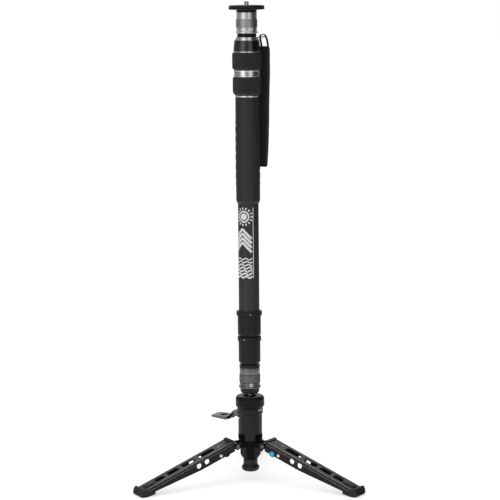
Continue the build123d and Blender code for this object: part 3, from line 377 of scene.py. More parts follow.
# %% Finishes of this monopod
recipes = {
    "black_anodised": ((14, 20), (0.36, 0.46), dict(lines=2600, depth=0.01, worn=75, specular=0.3)),
    "tube_coat": ((44, 49), (0.38, 0.46), dict(lines=1800, depth=0.008, worn=90, specular=0.4)),
    "hub_coat": ((10, 15), (0.4, 0.5), dict(grain=1800, depth=0.01, worn=50, specular=0.08)),
    # a near-black finish for sheets that paint shade into recesses
    "painted_shade_black": ((5, 9), (0.7, 0.8), dict(depth=0.01, specular=0.05)),
    "leg_coat": ((12, 18), (0.17, 0.25), dict(grain=2400, depth=0.012, edge=0.5, worn=150, wear_share=0.8,
                                              specular=0.22)),
    "cut_edge": ((150, 170), (0.3, 0.4), dict(metal=1.0, depth=0.004)),
    "gloss_black": ((84, 92), (0.16, 0.22), dict(metal=1.0, lines=1500, depth=0.003, worn=120)),
    "neck_plastic": ((10, 16), (0.4, 0.5), dict(depth=0.01, specular=0.3)),
    "ring_rubber": ((37, 44), (0.45, 0.55), dict(grain=2600, depth=0.02, worn=72, wear_share=0.4,
                                                 specular=0.35)),
    "collar_rubber": ((17, 22), (0.34, 0.42), dict(grain=2600, depth=0.01, worn=50, wear_share=0.4,
                                                   specular=0.16)),
    "grip_foam": ((36, 41), (0.42, 0.5), dict(grain=2000, specular=0.42)),
    "sole_rubber": ((20, 27), (0.4, 0.55), dict(grain=1500, worn=60, specular=0.35)),
    "pad_rubber": ((22, 28), (0.6, 0.7), dict(grain=1500, depth=0.05)),
    "turned_grey": ((234, 240), (0.26, 0.32), dict(metal=1.0, lines=3200, depth=0.002, worn=240)),
    "knurled_grey": ((176, 186), (0.32, 0.4), dict(metal=1.0, depth=0.002, worn=190)),
    # darker copies of the two greys above for the lower sleeve, which is the same metal: painted shade, as
    # less light reaches it
    "turned_grey_painted_shade": ((106, 114), (0.2, 0.26), dict(metal=1.0, lines=3200, depth=0.002, worn=170)),
    "knurled_grey_painted_shade": ((100, 110), (0.32, 0.4), dict(metal=1.0, depth=0.002, worn=130)),
    "bright_trim": ((240, 246), (0.12, 0.16), dict(metal=1.0, lines=3600, depth=0.001, worn=250)),
    "steel": ((205, 218), (0.18, 0.3), dict(metal=1.0, depth=0.003, worn=240)),
    # steel for the screw heads, half metal and near white: part of its brightness is a painted glint
    "screw_steel_painted_glint": ((238, 244), (0.42, 0.5), dict(metal=0.4, depth=0.003, worn=250)),
    "pin_steel": ((84, 100), (0.25, 0.35), dict(metal=1.0, depth=0.003, worn=220)),
    "brass": (((0.42, 0.26, 0.07), (0.5, 0.33, 0.1)), (0.25, 0.4), dict(metal=1.0, depth=0.004)),
    "bare_aluminium": ((190, 205), (0.3, 0.42), dict(metal=1.0, lines=2400, depth=0.004)),
    "bush_plastic": ((40, 50), (0.4, 0.5), dict(depth=0.01)),
    "blue_plastic": (((0.06, 0.5, 0.92), (0.09, 0.56, 0.97)), (0.3, 0.4), dict(depth=0.005)),
    "pedal_coat": ((108, 122), (0.34, 0.46), dict(grain=1900, depth=0.03, edge=0.5, worn=185)),
    "white_print": ((244, 250), (0.4, 0.5), dict(grain=3000, depth=0.002)),
    # lighter cloth whose tone is a painted highlight on the strap's padded edges
    "painted_highlight_cloth": ((52, 64), (0.7, 0.85), dict(grain=1800, depth=0.06, weave=6.5, sheen=0.2, specular=0.3)),
    "strap_cloth": ((28, 38), (0.75, 0.9), dict(grain=1800, depth=0.1, weave=5.2, sheen=0.2, specular=0.3)),
    "band_cloth": ((18, 26), (0.65, 0.8), dict(grain=1800, depth=0.1, weave=6.5, sheen=0.1, specular=0.3)),
    "thread": ((44, 58), (0.6, 0.75), dict(grain=4000, depth=0.02)),
}
finishes = {name: finish(name, tones, roughness, **rest)
            for name, (tones, roughness, rest) in recipes.items()}
print(len(finishes), "finishes")

# %% [markdown]
# ## Dressing the CAD nodes
# The record gives each node a material slot. Most nodes take the finish that
# the table gives for their slot, or the one of the same name; a few differ from
# the others that share it, such as the lacquered collar at the head.

# %% Give every CAD node its finish
slot_finish = {
    "black_metal": "black_anodised", "gunmetal": "turned_grey", "black_plastic": "neck_plastic",
    "ring_black": "ring_rubber", "webbing": "band_cloth", "strap_fabric": "strap_cloth",
    "grip_rubber": "grip_foam", "tube_black": "tube_coat", "pedal_grey": "pedal_coat",
    "foot_rubber": "sole_rubber", "leg_black": "leg_coat", "button_blue": "blue_plastic",
}
node_finish = {"head_collar": "gloss_black", "friction_collar": "collar_rubber", "hinge_pins": "pin_steel",
               "left_leg_button": "black_anodised", "right_leg_button": "black_anodised",
               "rear_leg_button": "black_anodised", "leg_hub": "hub_coat", "foot_post": "hub_coat"}
for part in frame["record"]["subparts"]:
    node, slot = part["node"], part["material_slot"]
    chosen = node_finish.get(node, slot_finish.get(slot, slot))
    nodes[node].data.materials[0] = finishes[chosen]
print(len(node_finish), "nodes differ from their slot")

# %% [markdown]
# ## Making a surface from a table of points
# Every new piece is a grid of points: rows run along it and columns run round
# it. One helper joins neighbouring points with quads, closes the ends with
# fans and gives a UV map measured in millimetres. It turns a piece's faces
# outwards all together, so of two grids that mirror each other one faces in.

# %% Grids to meshes
def piece(name, grids, body, material, instead_of=(), ends="caps", sharp=38, uv_size=None):
    """A mesh from grids[k][row, column] = a point in millimetres, closed round its columns.
    ends is "caps" for a fan on the first and last row, or "ring" where the last row joins the first.
    The sum of corner . (next x last) over all faces is the volume sixfold; if negative, faces turn over."""
    points, quads, fans, quad_uv = [], [], [], []
    start = 0
    for grid in grids:
        rows, columns = grid.shape[:2]
        index = start + np.arange(rows * columns).reshape(rows, columns)
        points.append(grid.reshape(-1, 3))
        start += rows * columns
        if ends == "ring":
            index = np.concatenate([index, index[:1]])
        after = np.roll(index, -1, axis=1)
        quads.append(np.stack([index[:-1], after[:-1], after[1:], index[1:]], axis=-1).reshape(-1, 4))
        if uv_size is not None:
            wide, tall = uv_size
            u = np.linspace(0, wide, columns + 1)
            v = np.linspace(0, tall, len(index))
            u0, v0 = np.meshgrid(u[:-1], v[:-1])
            u1, v1 = np.meshgrid(u[1:], v[1:])
            corners = np.stack([u0, v0, u1, v0, u1, v1, u0, v1], axis=-1)
            quad_uv.append(corners.reshape(-1, 4, 2))
        if ends == "caps":
            for row, ring in ((0, index[0]), (-1, index[-1])):
                points.append(grid[row].mean(axis=0)[None])
                tip = np.full(columns, start)
                start += 1
                around = np.roll(ring, -1)
                fans.append(np.stack([tip, around, ring] if row == 0 else [tip, ring, around], axis=1))
    points = np.concatenate(points)
    quads = np.concatenate(quads)
    fans = np.concatenate(fans) if fans else np.zeros((0, 3), int)
    a, b, c, d = (points[quads[:, k]] for k in range(4))
    volume = np.sum(a * np.cross(b, c)) + np.sum(a * np.cross(c, d))
    volume += np.sum(points[fans[:, 0]] * np.cross(points[fans[:, 1]], points[fans[:, 2]]))
    if volume < 0:
        quads = quads[:, ::-1]
        fans = fans[:, ::-1]
    mesh = bpy.data.meshes.new(name)
    mesh.from_pydata((points * mm).tolist(), [], quads.tolist() + fans.tolist())
    if uv_size is not None:
        flat = np.concatenate(quad_uv)
        flat = flat[:, ::-1] if volume < 0 else flat
        flat = np.concatenate([flat.reshape(-1), np.zeros(fans.size * 2)])
        layer = mesh.uv_layers.new(name="real_size")
        layer.data.foreach_set("uv", flat.astype(np.float32))
    mesh.polygons.foreach_set("use_smooth", np.ones(len(mesh.polygons), bool))
    mesh.set_sharp_from_angle(angle=np.radians(sharp))
    mesh.materials.append(finishes[material])
    made = add_object(name, mesh)
    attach(made, body)
    if instead_of:
        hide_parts(*instead_of)
    return made


# %% [markdown]
# ## Turned pieces
# Most of the head was cut on a lathe, so its pieces are an outline spun round
# the column. A spun outline alone would look like plain pipe: its corners are
# first rounded a little, because a rounded edge is what catches the light, and
# a relief such as ribs or a knurl then moves the points in or out.

# %% Outlines and spinning
def eased(corners, ease, spacing=None, low=0.0):
    """A closed outline with every corner replaced by a short curve; heights count up from low.
    The curve runs from ease before the corner to ease after it, point = (1-t)^2 a + 2t(1-t) corner + t^2 b.
    Straight stretches are then divided evenly to the given spacing."""
    corners = np.array(corners, float) + [0, low]
    before = np.roll(corners, 1, axis=0) - corners
    after = np.roll(corners, -1, axis=0) - corners
    reach_before = np.linalg.norm(before, axis=1, keepdims=True)
    reach_after = np.linalg.norm(after, axis=1, keepdims=True)
    a = corners + before / reach_before * np.minimum(ease, reach_before * 0.45)
    b = corners + after / reach_after * np.minimum(ease, reach_after * 0.45)
    t = np.linspace(0, 1, 5)[None, :, None]
    curve = (1 - t) ** 2 * a[:, None] + 2 * t * (1 - t) * corners[:, None] + t ** 2 * b[:, None]
    outline = curve.reshape(-1, 2)
    if spacing is None:
        return outline
    gap = np.roll(outline, -1, axis=0) - outline
    parts = np.maximum(1, np.ceil(np.linalg.norm(gap, axis=1) / spacing)).astype(int)
    begin = np.repeat(np.arange(len(outline)), parts)
    step = np.arange(parts.sum()) - np.repeat(np.cumsum(parts) - parts, parts)
    return outline[begin] + gap[begin] * (step / parts[begin])[:, None]


def spun(outline, steps, relief=None):
    """Points of an outline of (radius, height) pairs spun round the column: (r cos a, r sin a, z).
    relief(angle, height, radius) is added to the radius."""
    angle = full_circle(steps)[None, :]
    radius = np.repeat(outline[:, :1], steps, axis=1)
    height = np.repeat(outline[:, 1:], steps, axis=1)
    if relief is not None:
        radius = radius + relief(angle, height, radius)
    return polar(radius, angle, height)


def turned(node, body, material, corners, ease, spacing=None, steps=160, relief=None, sharp=50):
    """A spun piece that is shown instead of its node; the corners' heights count from the node's foot."""
    grid = spun(eased(corners, ease, spacing, level(node)[0]), steps, relief)
    return piece(node + "_skin", [grid], body, material, (node,), ends="ring", sharp=sharp)


def both_ways(half, tall):
    """The lower half of an outline, and the same half upside down at the top."""
    return half + [(radius, tall - height) for radius, height in reversed(half)]


def fade(value, start, full):
    """0 before start, 1 past full, and a smooth step 3t^2 - 2t^3 between them."""
    t = np.clip((value - start) / (full - start), 0, 1)
    return t * t * (3 - 2 * t)


# %% [markdown]
# The two twist rings carry slanted ribs for the fingers. A rib is a wave round
# the ring whose phase shifts with height, so each crest climbs like a steep
# thread. The wave fades out before the rounded ends and never reaches the bore.

# %% Twist rings
rib_count = 32


def slanted_ribs(bottom, top, outside, slant=62.0, height=1.5):
    """Relief: height * wave, wave = (0.5 + 0.5 cos(count * (angle - climb / (outside * tan slant))))."""
    def relief(angle, z, radius):
        climb = (z - bottom) / (outside * np.tan(np.radians(slant)))
        wave = 0.5 + 0.5 * np.cos(rib_count * (angle - climb))
        band = fade(z, bottom + 1.2, bottom + 4.0) * fade(top - z, 1.2, 3.4)
        return height * (wave ** 0.5 - 1.0) * band * (radius > outside - 2.2)
    return relief


def twist_ring(node, body, outside, foot_radius, foot_height):
    bottom, top = level(node)
    tall, bore, rim = top - bottom, 17.6, outside + 0.15
    corners = [(bore, 0), (foot_radius, 0), (rim, foot_height), (rim, tall - 1.6),
               (outside - 1.5, tall), (bore, tall)]
    ribs = slanted_ribs(bottom, top, outside)
    return turned(node, body, "ring_rubber", corners, 1.9, 0.5, rib_count * 11, ribs, 60)


upper_ring = twist_ring("upper_twist_ring", "upper_twist", 20.85, 19.3, 1.8)
lower_ring = twist_ring("lower_twist_ring", "lower_twist", 20.45, 18.4, 3.8)
print("twist rings:", len(upper_ring.data.polygons), "and", len(lower_ring.data.polygons), "faces")

# %% [markdown]
# The coupling sleeves are turned from grey aluminium with a band of diamond
# knurl. A knurl is two sets of fine waves that wind opposite ways; where their
# crests meet there is a point, and the lathe's smooth bands lie above and below.

# %% Coupling sleeves
knurl_count, knurl_radius = 74, 14.95


def diamond_knurl(low, high, height):
    """Relief: 0.25 height * (cos(count (angle + z/r)) + cos(count (angle - z/r))), between low and high."""
    def relief(angle, z, radius):
        climb = z / knurl_radius
        waves = np.cos(knurl_count * (angle + climb)) + np.cos(knurl_count * (angle - climb))
        inside = fade(z, low, low + 0.35) * fade(high - z, 0, 0.35)
        return height * 0.25 * waves * inside * (radius > 14)
    return relief


def coupling(node, body, smooth, knurled):
    """A sleeve with a flange at its foot and a sunk middle, and the knurled band that fills the middle."""
    bottom, top = level(node)
    tall, low, high = top - bottom, 7.9, 19.5
    sleeve = [(12.4, 0), (15.6, 0), (16.0, 0.5), (16.0, 2.2), (15.5, 2.7), (14.7, 2.9),
              (14.7, low - 0.4), (14.3, low - 0.2), (14.3, high + 0.2), (14.7, high + 0.4),
              (14.7, tall - 0.4), (14.3, tall), (12.4, tall)]
    turned(node, body, smooth, sleeve, 0.22)
    band = eased([(14.1, low), (knurl_radius, low), (knurl_radius, high), (14.1, high)], 0.22, 0.36, bottom)
    relief = diamond_knurl(bottom + low, bottom + high, 0.4)
    return piece(node + "_knurl", [spun(band, knurl_count * 5, relief)], body, knurled,
                 ends="ring", sharp=50)


upper_knurl = coupling("upper_adapter", "upper_coupling", "turned_grey", "knurled_grey")
# the lower sleeve takes the darker copies, with painted shade in their colour
coupling("lower_adapter", "lower_coupling", "turned_grey_painted_shade", "knurled_grey_painted_shade")
print("knurled bands:", len(upper_knurl.data.polygons), "faces each")

# %% [markdown]
# ## Socket screws
# Each sleeve is locked by a grub screw, and each section collar by a smaller
# one. The head is a disc with a hexagonal socket. The socket's edge is a
# hexagon in polar form, so the same rings of points run from the round rim to
# the six-sided hole and down to its floor.

# %% Socket screws
def socket_head(radius, proud, sunk=1.2):
    """Rings of points about X: rim, chamfer, face, hexagon edge, hexagon floor.
    The hexagon's radius at angle a is apothem / cos(((a + 30) mod 60) - 30), in degrees."""
    a = full_circle(48)
    hexagon = 0.48 * radius / np.cos((a + np.pi / 6) % (np.pi / 3) - np.pi / 6)
    rings = [(radius, -2.0), (radius, proud - 0.35), (radius * 0.86, proud),
             (hexagon * 1.12, proud), (hexagon, proud - 0.12), (hexagon * 0.97, proud - sunk)]
    return np.stack([np.stack([0 * a + x, r * np.cos(a), r * np.sin(a)], axis=-1) for r, x in rings])


def turned_out(grid, azimuth, distance, height):
    """Turns a grid made about X so that it points outwards at that azimuth, and moves it out and up."""
    a = np.radians(azimuth)
    x, y, z = grid[..., 0] + distance, grid[..., 1], grid[..., 2]
    return np.stack([x * np.cos(a) - y * np.sin(a), x * np.sin(a) + y * np.cos(a), z + height], axis=-1)


screws = {
    "upper_adapter_screw": ("upper_coupling", 2.5, 14.75, 0.35, -60),
    "lower_adapter_screw": ("lower_coupling", 2.5, 14.75, 0.35, -81),
    "outer_collar_screw": ("outer_column", 0.9, 18.4, 0.3, -83),
    "middle_collar_screw": ("middle_column", 0.9, 17.05, 0.3, -114),
}
# the screw heads take the steel whose near-white colour is partly a painted glint
for node, (body, radius, distance, proud, azimuth) in screws.items():
    low, high = level(node)
    grid = turned_out(socket_head(radius, proud), azimuth, distance, (low + high) / 2)
    piece(node + "_head", [grid], body, "screw_steel_painted_glint", (node,), sharp=30)
print(len(screws), "screws")

# %% [markdown]
# ## The head
# Trim rings, the index band and the cap ring are bright turned metal; they are
# spun with eased corners so that each edge draws a thin line of light. The
# collar between them is lacquered.

# %% Bright rings and the head collar
band_low, band_high = level("index_band")
band_tall = band_high - band_low
rings = {
    "index_band": both_ways([(17.5, 0), (19.0, 0), (19.4, 0.5), (19.4, 1.1), (19.15, 1.3)], band_tall),
    "lower_trim_ring": [(14.8, 0), (17.1, 0), (17.4, 0.6), (17.4, 1.7), (17.1, 2.3), (14.8, 2.3)],
    "head_trim_ring": [(17.5, 0), (19.1, 0), (19.6, 0.5), (19.6, 1.0), (19.2, 1.5), (17.5, 1.5)],
    "head_cap_ring": [(14.8, 0), (17.3, 0), (17.3, 0.5), (16.6, 2.3), (16.3, 2.8), (14.8, 2.8)],
}
for node, corners in rings.items():
    turned(node, "outer_column", "bright_trim", corners, 0.25)
collar = [(17.5, 0), (18.9, 0), (19.1, 0.4), (19.1, 4.6), (18.95, 5.6),
          (17.9, 14.6), (17.55, 15.5), (17.5, 15.5)]
turned("head_collar", "outer_column", "gloss_black", collar, 0.5)
print(len(rings), "bright rings and the collar, the band", round(band_tall, 1), "mm tall")

# %% [markdown]
# ## The top plate
# The camera sits on a ribbed rubber pad and is held by a quarter inch thread.
# The thread is a wave that climbs one pitch a turn. The plate's edge has two
# rims with fine milling between them for the fingers.

# %% Plate, pad and thread
plate_low, plate_high = level("camera_plate")
pad_low, pad_high = level("plate_pad")
stud_low, stud_high = level("camera_stud")
pitch = 25.4 / 20


def edge_milling(angle, z, radius):
    """Relief: 0.22 cos(150 angle) between the two rims."""
    inside = fade(z, plate_low + 1.3, plate_low + 1.7) * fade(plate_high - z, 1.3, 1.7)
    return 0.22 * np.cos(150 * angle) * inside * (radius > 24)


plate = both_ways([(4.0, 0), (24.5, 0), (25.5, 0.7), (25.6, 1.1), (25.0, 1.5)], plate_high - plate_low)
turned("camera_plate", "outer_column", "black_anodised", plate, 0.35, 0.5, 900, edge_milling)

rib_pitch, rib_depth = 2.2, 0.28
pad_radii = np.linspace(24.6, 5.0, 120)
pad_top = pad_high - rib_depth * (0.5 + 0.5 * np.cos(pad_radii * 2 * np.pi / rib_pitch)) ** 2
pad_edge = [(4.0, pad_low), (24.6, pad_low), (24.9, pad_low + 0.3), (24.9, pad_high - 0.4)]
pad_outline = np.concatenate([pad_edge, np.stack([pad_radii, pad_top], axis=1), [(4.0, pad_high)]])
piece("plate_pad_skin", [spun(pad_outline, 160)], "outer_column", "pad_rubber",
      ("plate_pad",), ends="ring", sharp=50)


def thread(angle, z, radius):
    """Relief: a cut of 0.5 that follows the sawtooth of z/pitch - angle/turn, ended near the tip."""
    cut = np.abs(2 * ((z / pitch - angle / (2 * np.pi)) % 1) - 1)
    return -0.5 * (1 - cut) * fade(z, pad_high - 0.6, pad_high + 0.1) * fade(stud_high - z, 0.1, 0.6)


stud_rows, crest = 62, 3.35
stud_heights = np.linspace(pad_high - 1.0, stud_high - 0.45, stud_rows)
stud_outline = np.concatenate([[(4.0, stud_low), (4.0, pad_high - 1.2)],
                               np.stack([np.full(stud_rows, crest), stud_heights], axis=1),
                               [(2.75, stud_high - 0.02), (1.2, stud_high)]])
piece("camera_stud_skin", [spun(stud_outline, 64, thread)], "outer_column", "steel",
      ("camera_stud",))
print("plate, pad and thread reach", round(stud_high, 1), "mm")

# %% [markdown]
# ## The hand grip
# A soft sleeve on the outer tube, with low lozenges raised on its middle.
# The lozenges are where the product of two slanted waves lies in a band; the
# relief is only 0.4 mm, so it shows as a faint change of tone, as on foam.

# %% Hand grip
grip_low, grip_high = level("hand_grip")
tall = grip_high - grip_low


def lozenges(angle, z, radius):
    """Relief: 0.4 where cos(p) cos(q) lies in a band, with p and q slanted both ways, in the middle only."""
    climb = (z - grip_low) * 0.24
    crossed = np.cos(7 * angle + climb) * np.cos(7 * angle - climb)
    raised = fade(crossed, 0.08, 0.3) - fade(crossed, 0.62, 0.8)
    middle = fade(z, grip_low + 22, grip_low + 30) * fade(grip_high - z, 30, 38)
    return 0.4 * raised * middle * (radius > 16.8)


grip = [(14.8, 0), (15.5, 0), (17.1, 4.0), (17.1, tall - 0.8), (16.6, tall), (14.8, tall)]
turned("hand_grip", "outer_column", "grip_foam", grip, 0.9, 1.1, 300, lozenges)
print("grip", round(tall, 1), "mm long")

# %% [markdown]
# ## The rubber foot
# A ball of rubber under the post, with a waist above it and grooves round its
# bulge. The outline is spun like the rings, and the grooves are cut into it as
# a wave over height.

# %% Rubber foot
foot_low, foot_high = level("rubber_foot")
tall = foot_high - foot_low
groove_pitch = 2.4


def foot_grooves(angle, z, radius):
    """Relief: grooves 0.35 deep up the bulge, one at each pitch."""
    rise = z - foot_low
    wave = (0.5 + 0.5 * np.cos(rise * 2 * np.pi / groove_pitch)) ** 6
    return -0.35 * wave * (radius > 9) * fade(rise, 0.6, 1.2) * fade(8.6 - rise, 0, 0.6)


foot = [(1.0, 0), (8.7, 0), (11.9, 1.9), (13.1, 5.2), (12.4, 7.4), (10.2, 9.8),
        (10.2, tall - 2.6), (10.2, tall), (1.0, tall)]
turned("rubber_foot", "base", "sole_rubber", foot, 1.6, 0.4, 120, foot_grooves, 60)
print("foot", round(tall, 1), "mm high")

# %% [markdown]
# ## The print on the tube
# The bare part of the outer tube carries a white print. Here it is a plain
# landscape of lines: a sun with rays, mountain ridges, and waves below. Each
# line is a ribbon: a curve on the unrolled tube, widened to both sides, then
# wrapped on. Unrolled, a point is (arc, height); wrapped, its angle is arc
# divided by the radius.

# %% Printed lines
tube_radius = 14.8


def on_tube(arc, height, lift, turn_to=-191.0):
    """A point of the unrolled tube wrapped round it, lift above its surface."""
    return polar(tube_radius + lift, np.radians(turn_to) + arc / tube_radius, height)


def printed_line(arc, height, width):
    """A ribbon along the curve (arc, height), its edges half a width to each side."""
    path = np.stack([arc, height], axis=1)
    along = unit(np.gradient(path, axis=0))
    across = np.stack([-along[:, 1], along[:, 0]], axis=1) * width / 2
    left, mid, far = path - across, path, path + across
    rows = [on_tube(*left.T, 0.05), on_tube(*mid.T, 0.055), on_tube(*far.T, 0.05),
            on_tube(*far.T, -0.03), on_tube(*mid.T, -0.03), on_tube(*left.T, -0.03)]
    return np.stack(rows, axis=1)


def straight(x0, z0, x1, z1, width, steps=14):
    """A printed line straight from one point to another."""
    t = np.linspace(0, 1, steps)
    return printed_line(x0 + (x1 - x0) * t, z0 + (z1 - z0) * t, width)


def ridge(peak_x, peak_z, reach, fall, width):
    """Two printed slopes that meet in a peak; height falls by fall over reach to each side."""
    return [straight(peak_x - reach, peak_z - fall, peak_x + 0.25, peak_z, width),
            straight(peak_x - 0.25, peak_z, peak_x + reach, peak_z - fall, width)]


print_low = 296.5
sun_x, sun_z = 19.5, print_low + 88.0
lines = []
for radius, width in ((2.4, 4.8), (7.4, 2.2)):
    round_trip = np.linspace(0, 2 * np.pi + 0.04, 90)
    arc, height = sun_x + radius * np.cos(round_trip), sun_z + radius * np.sin(round_trip)
    lines.append(printed_line(arc, height, width))
for ray in np.radians(np.arange(0, 360, 24)):
    inner, outer = 10.0, 13.4
    lines.append(straight(sun_x + inner * np.cos(ray), sun_z + inner * np.sin(ray),
                          sun_x + outer * np.cos(ray), sun_z + outer * np.sin(ray), 1.9, 6))
for step in range(4):
    lines += ridge(17.5, print_low + 70.5 - step * 6.4, 13.5, 14.0, 3.4)
wave_arc = np.linspace(4.0, 32.0, 90)
for step in range(7):
    wave = print_low + 1.6 + step * 4.3 + 1.1 * np.sin(wave_arc * 0.62 + step * 1.1)
    lines.append(printed_line(wave_arc, wave, 2.5 - 0.15 * step))
for x, width in ((1.6, 1.4), (33.4, 1.0)):
    lines.append(straight(x, print_low, x, print_low + 101, width, 30))
piece("tube_print", lines, "outer_column", "white_print", sharp=60)
print(len(lines), "printed lines")

# %% [markdown]
# ## Marks on the base and the head
# A slanted line on the housing shows where the friction collar is tight, a
# wedge on the index band shows the way to turn. Both are thin raised strips
# that lie on the surface below. A small socket screw sits under the slanted line.

# %% Index marks
def mark_round(radius, azimuth, height, length, rise, width, taper=0.0, steps=16):
    """A strip round the column: its middle climbs by rise over length, and its width shrinks by the taper."""
    t = np.linspace(-0.5, 0.5, steps)
    a = np.radians(azimuth) + t * length / radius
    z = height + t * rise
    half = width / 2 * (1 - taper * (t + 0.5))
    edges = ((0.06, -half), (0.06, half), (-0.05, half), (-0.05, -half))
    return np.stack([polar(radius + lift, a, z + offset) for lift, offset in edges], axis=1)


housing_radius, band_radius = 18.4, 19.15
piece("housing_mark", [mark_round(housing_radius, -36, 105.0, 7.2, 0.9, 1.5)], "base", "white_print")
wedge = [mark_round(band_radius, -138, band_low + 6.4, 15.0, -1.9, 1.5, 0.95, 24),
         mark_round(band_radius, -138, band_low + 2.6, 13.0, 0.0, 0.5, 0.0, 24)]
piece("index_wedge", wedge, "outer_column", "pin_steel")
screw_seat = turned_out(socket_head(1.5, 0.12, 0.9), -88, housing_radius, 99.8)
piece("housing_grub_screw", [screw_seat], "base", "black_anodised", sharp=30)
print("marks on the housing and the band")

# %% [markdown]
# ## Painted shade in recesses
# Some recesses get painted shade: thin black sheets lie where the real
# object is only in shade, in the seats in the housing behind the hinges, at
# the edge of the pedal's slot, and in the hollows in its neck's sides.
# A sheet is a flat shape given by its outline and lifted by its thickness.

# %% Sheets of painted shade
def outline_slab(outline, *levels):
    """The outline's points (u, v) at each level: rows of (u, v, level)."""
    return np.stack([np.concatenate([outline, np.full((len(outline), 1), w)], axis=1) for w in levels])


def squared(wave, power):
    """A sine or cosine flattened towards -1 and 1: sign(w) |w|^power."""
    return np.sign(wave) * np.abs(wave) ** power


def rounded_box(half_u, half_v, power=0.25, steps=48):
    """A superellipse: u = U sign(cos t) |cos t|^p, v = V sign(sin t) |sin t|^p."""
    t = full_circle(steps)
    return np.stack([half_u * squared(np.cos(t), power), half_v * squared(np.sin(t), power)], axis=1)


leg_azimuths = {"left_leg": 210, "right_leg": 330, "rear_leg": 90}
# black sheets of painted shade in the housing's seats behind the hinges, which are only in shade on the real
# base
seat = outline_slab(rounded_box(9.6, 4.1), 14.3, 14.6)[..., [2, 0, 1]]
seat_height = level("base_housing")[0] + 4.3
seats = [turned_out(seat, azimuth, 0, seat_height) for azimuth in leg_azimuths.values()]
piece("hinge_seat_painted_shade", seats, "base", "painted_shade_black", sharp=30)

pedal_azimuth = 150
pivot = level("pedal")[1] - 8.9
# black sheets of painted shade at the edge of the pedal's slot and in the hollows of its neck's sides
slot_rim = outline_slab(rounded_box(4.4, 5.6), pivot - 0.7, pivot - 0.45) + [44.3, 0, 0]
side_hollow = np.array([(24.0, 6.3), (33.5, -1.6), (36.0, -2.0), (36.0, -4.4), (31.5, -4.4), (24.0, 3.0)])
hollows = [outline_slab(side_hollow, side * 6.9, side * 7.12)[..., [0, 2, 1]] + [0, 0, pivot] for side in (-1, 1)]
pedal_shade = [turned_out(grid, pedal_azimuth, 0, 0) for grid in (slot_rim, *hollows)]
piece("pedal_painted_shade", pedal_shade, "pedal", "painted_shade_black", sharp=30)
print(len(seats) + len(pedal_shade), "linings")

# %% [markdown]
# ## Small parts of the legs
# The legs lie on a slope, so their small parts are made in the leg's own
# directions, X outwards along it and Z square to its top, and then turned and
# moved to each of the three legs. Rivets and buttons are domes with a full
# shoulder. A short mark lies beside the hinge, thin strips catch the light on
# the cut edges, and black sheets of painted shade lie in the hollows of the
# leg's sides, where the real legs are only in shade.

# %% Places on a leg
slope = np.radians(20.73)
hinge_out, hinge_height = 27.0, 54.5


def on_leg(grid, azimuth):
    """Leg coordinates to the frame: lean down by the slope, move to the hinge, turn to the azimuth."""
    x, y, z = np.moveaxis(grid, -1, 0)
    out = hinge_out + x * np.cos(slope) + z * np.sin(slope)
    rise = hinge_height - x * np.sin(slope) + z * np.cos(slope)
    return turned_out(np.stack([out, y, rise], axis=-1), azimuth, 0, 0)


def dome(radius, height, foot, skirt=0.8):
    """Rings about Y: a straight skirt, then radius * cos(t) ^ 0.6 and height * sin(t) up to a closed tip."""
    t = np.linspace(0, np.pi / 2, 9)[:, None]
    a = full_circle(40)
    r = np.maximum(np.concatenate([[[radius]], radius * np.cos(t) ** 0.6]), 0.02)
    y = foot + np.concatenate([[[-skirt]], height * np.sin(t)])
    return np.stack(np.broadcast_arrays(r * np.cos(a), y, r * np.sin(a)), axis=-1)


print("legs slope", round(float(np.degrees(slope)), 2), "degrees")

# %% Buttons, rivets and marks on each leg
leg_half, other_side = 13.5, [1, -1, 1]
rivet = dome(2.5, 0.75, 0.6 + leg_half) + [29.3, 0, 1.0]
# the button's skirt ends 0.1 mm inside the leg's side, so that no gap shows under the cap
button = dome(3.55, 0.9, 3.3 + leg_half, skirt=3.4) * other_side + [19.8, 0, -1.2]
# outlines of the black sheets of painted shade in the hollows of the leg's sides
near_hinge = np.array([(13.0, 7.9), (47.0, 7.9), (47.0, 0.2), (13.0, 0.2)])
# on the button's side a corner is left out, where the pressed cap comes in by 2.4 mm
by_button = np.array([(13.0, 7.9), (47.0, 7.9), (47.0, 0.2), (24.2, 0.2), (24.2, 2.9), (13.0, 2.9)])
far_out = np.array([(70.5, 7.9), (129.5, 7.9), (129.5, 3.0), (70.5, 0.2)])
shade = [outline_slab(outline, side * 10.6, side * 11.4)[..., [0, 2, 1]]
         for side, outline in ((-1, by_button), (-1, far_out), (1, near_hinge), (1, far_out))]

t = np.linspace(0, 1, 10)
arc = np.stack([22.2 + 3.4 * t, 0.5 + 1.6 * np.sin(np.pi * t), np.full(10, 10.2)], axis=1)
mark_edges = ((-0.55, 0.06), (0.55, 0.06), (0.55, -0.05), (-0.55, -0.05))
mark = np.stack([arc + [0, across, up] for across, up in mark_edges], axis=1)

run = np.linspace(6.5, 150.5, 30)
edges = []
for side in (-1, 1):
    strips = [(leg_half - 1.45, 10.05, ((-0.3, 0.19), (0.05, 0.19), (0.3, -0.06), (0, -0.3))),
              (leg_half, 6.9, ((-0.1, -0.16), (0.1, -0.16), (0.1, 0.16), (-0.1, 0.16)))]
    for out, up, corners in strips:
        rows = [np.stack(np.broadcast_arrays(run, side * (out + across), up + rise), axis=1)
                for across, rise in corners]
        edges.append(np.stack(rows, axis=1))

rim_levels, rim_insets = (7.0, 10.4, 11.1, 11.4), (0, 0, 0.35, 1.1)
toe_pad = np.concatenate([outline_slab(rounded_box(9.3 - inset, 5.7 - inset) + [141.0, 0], up)
                          for up, inset in zip(rim_levels, rim_insets)])

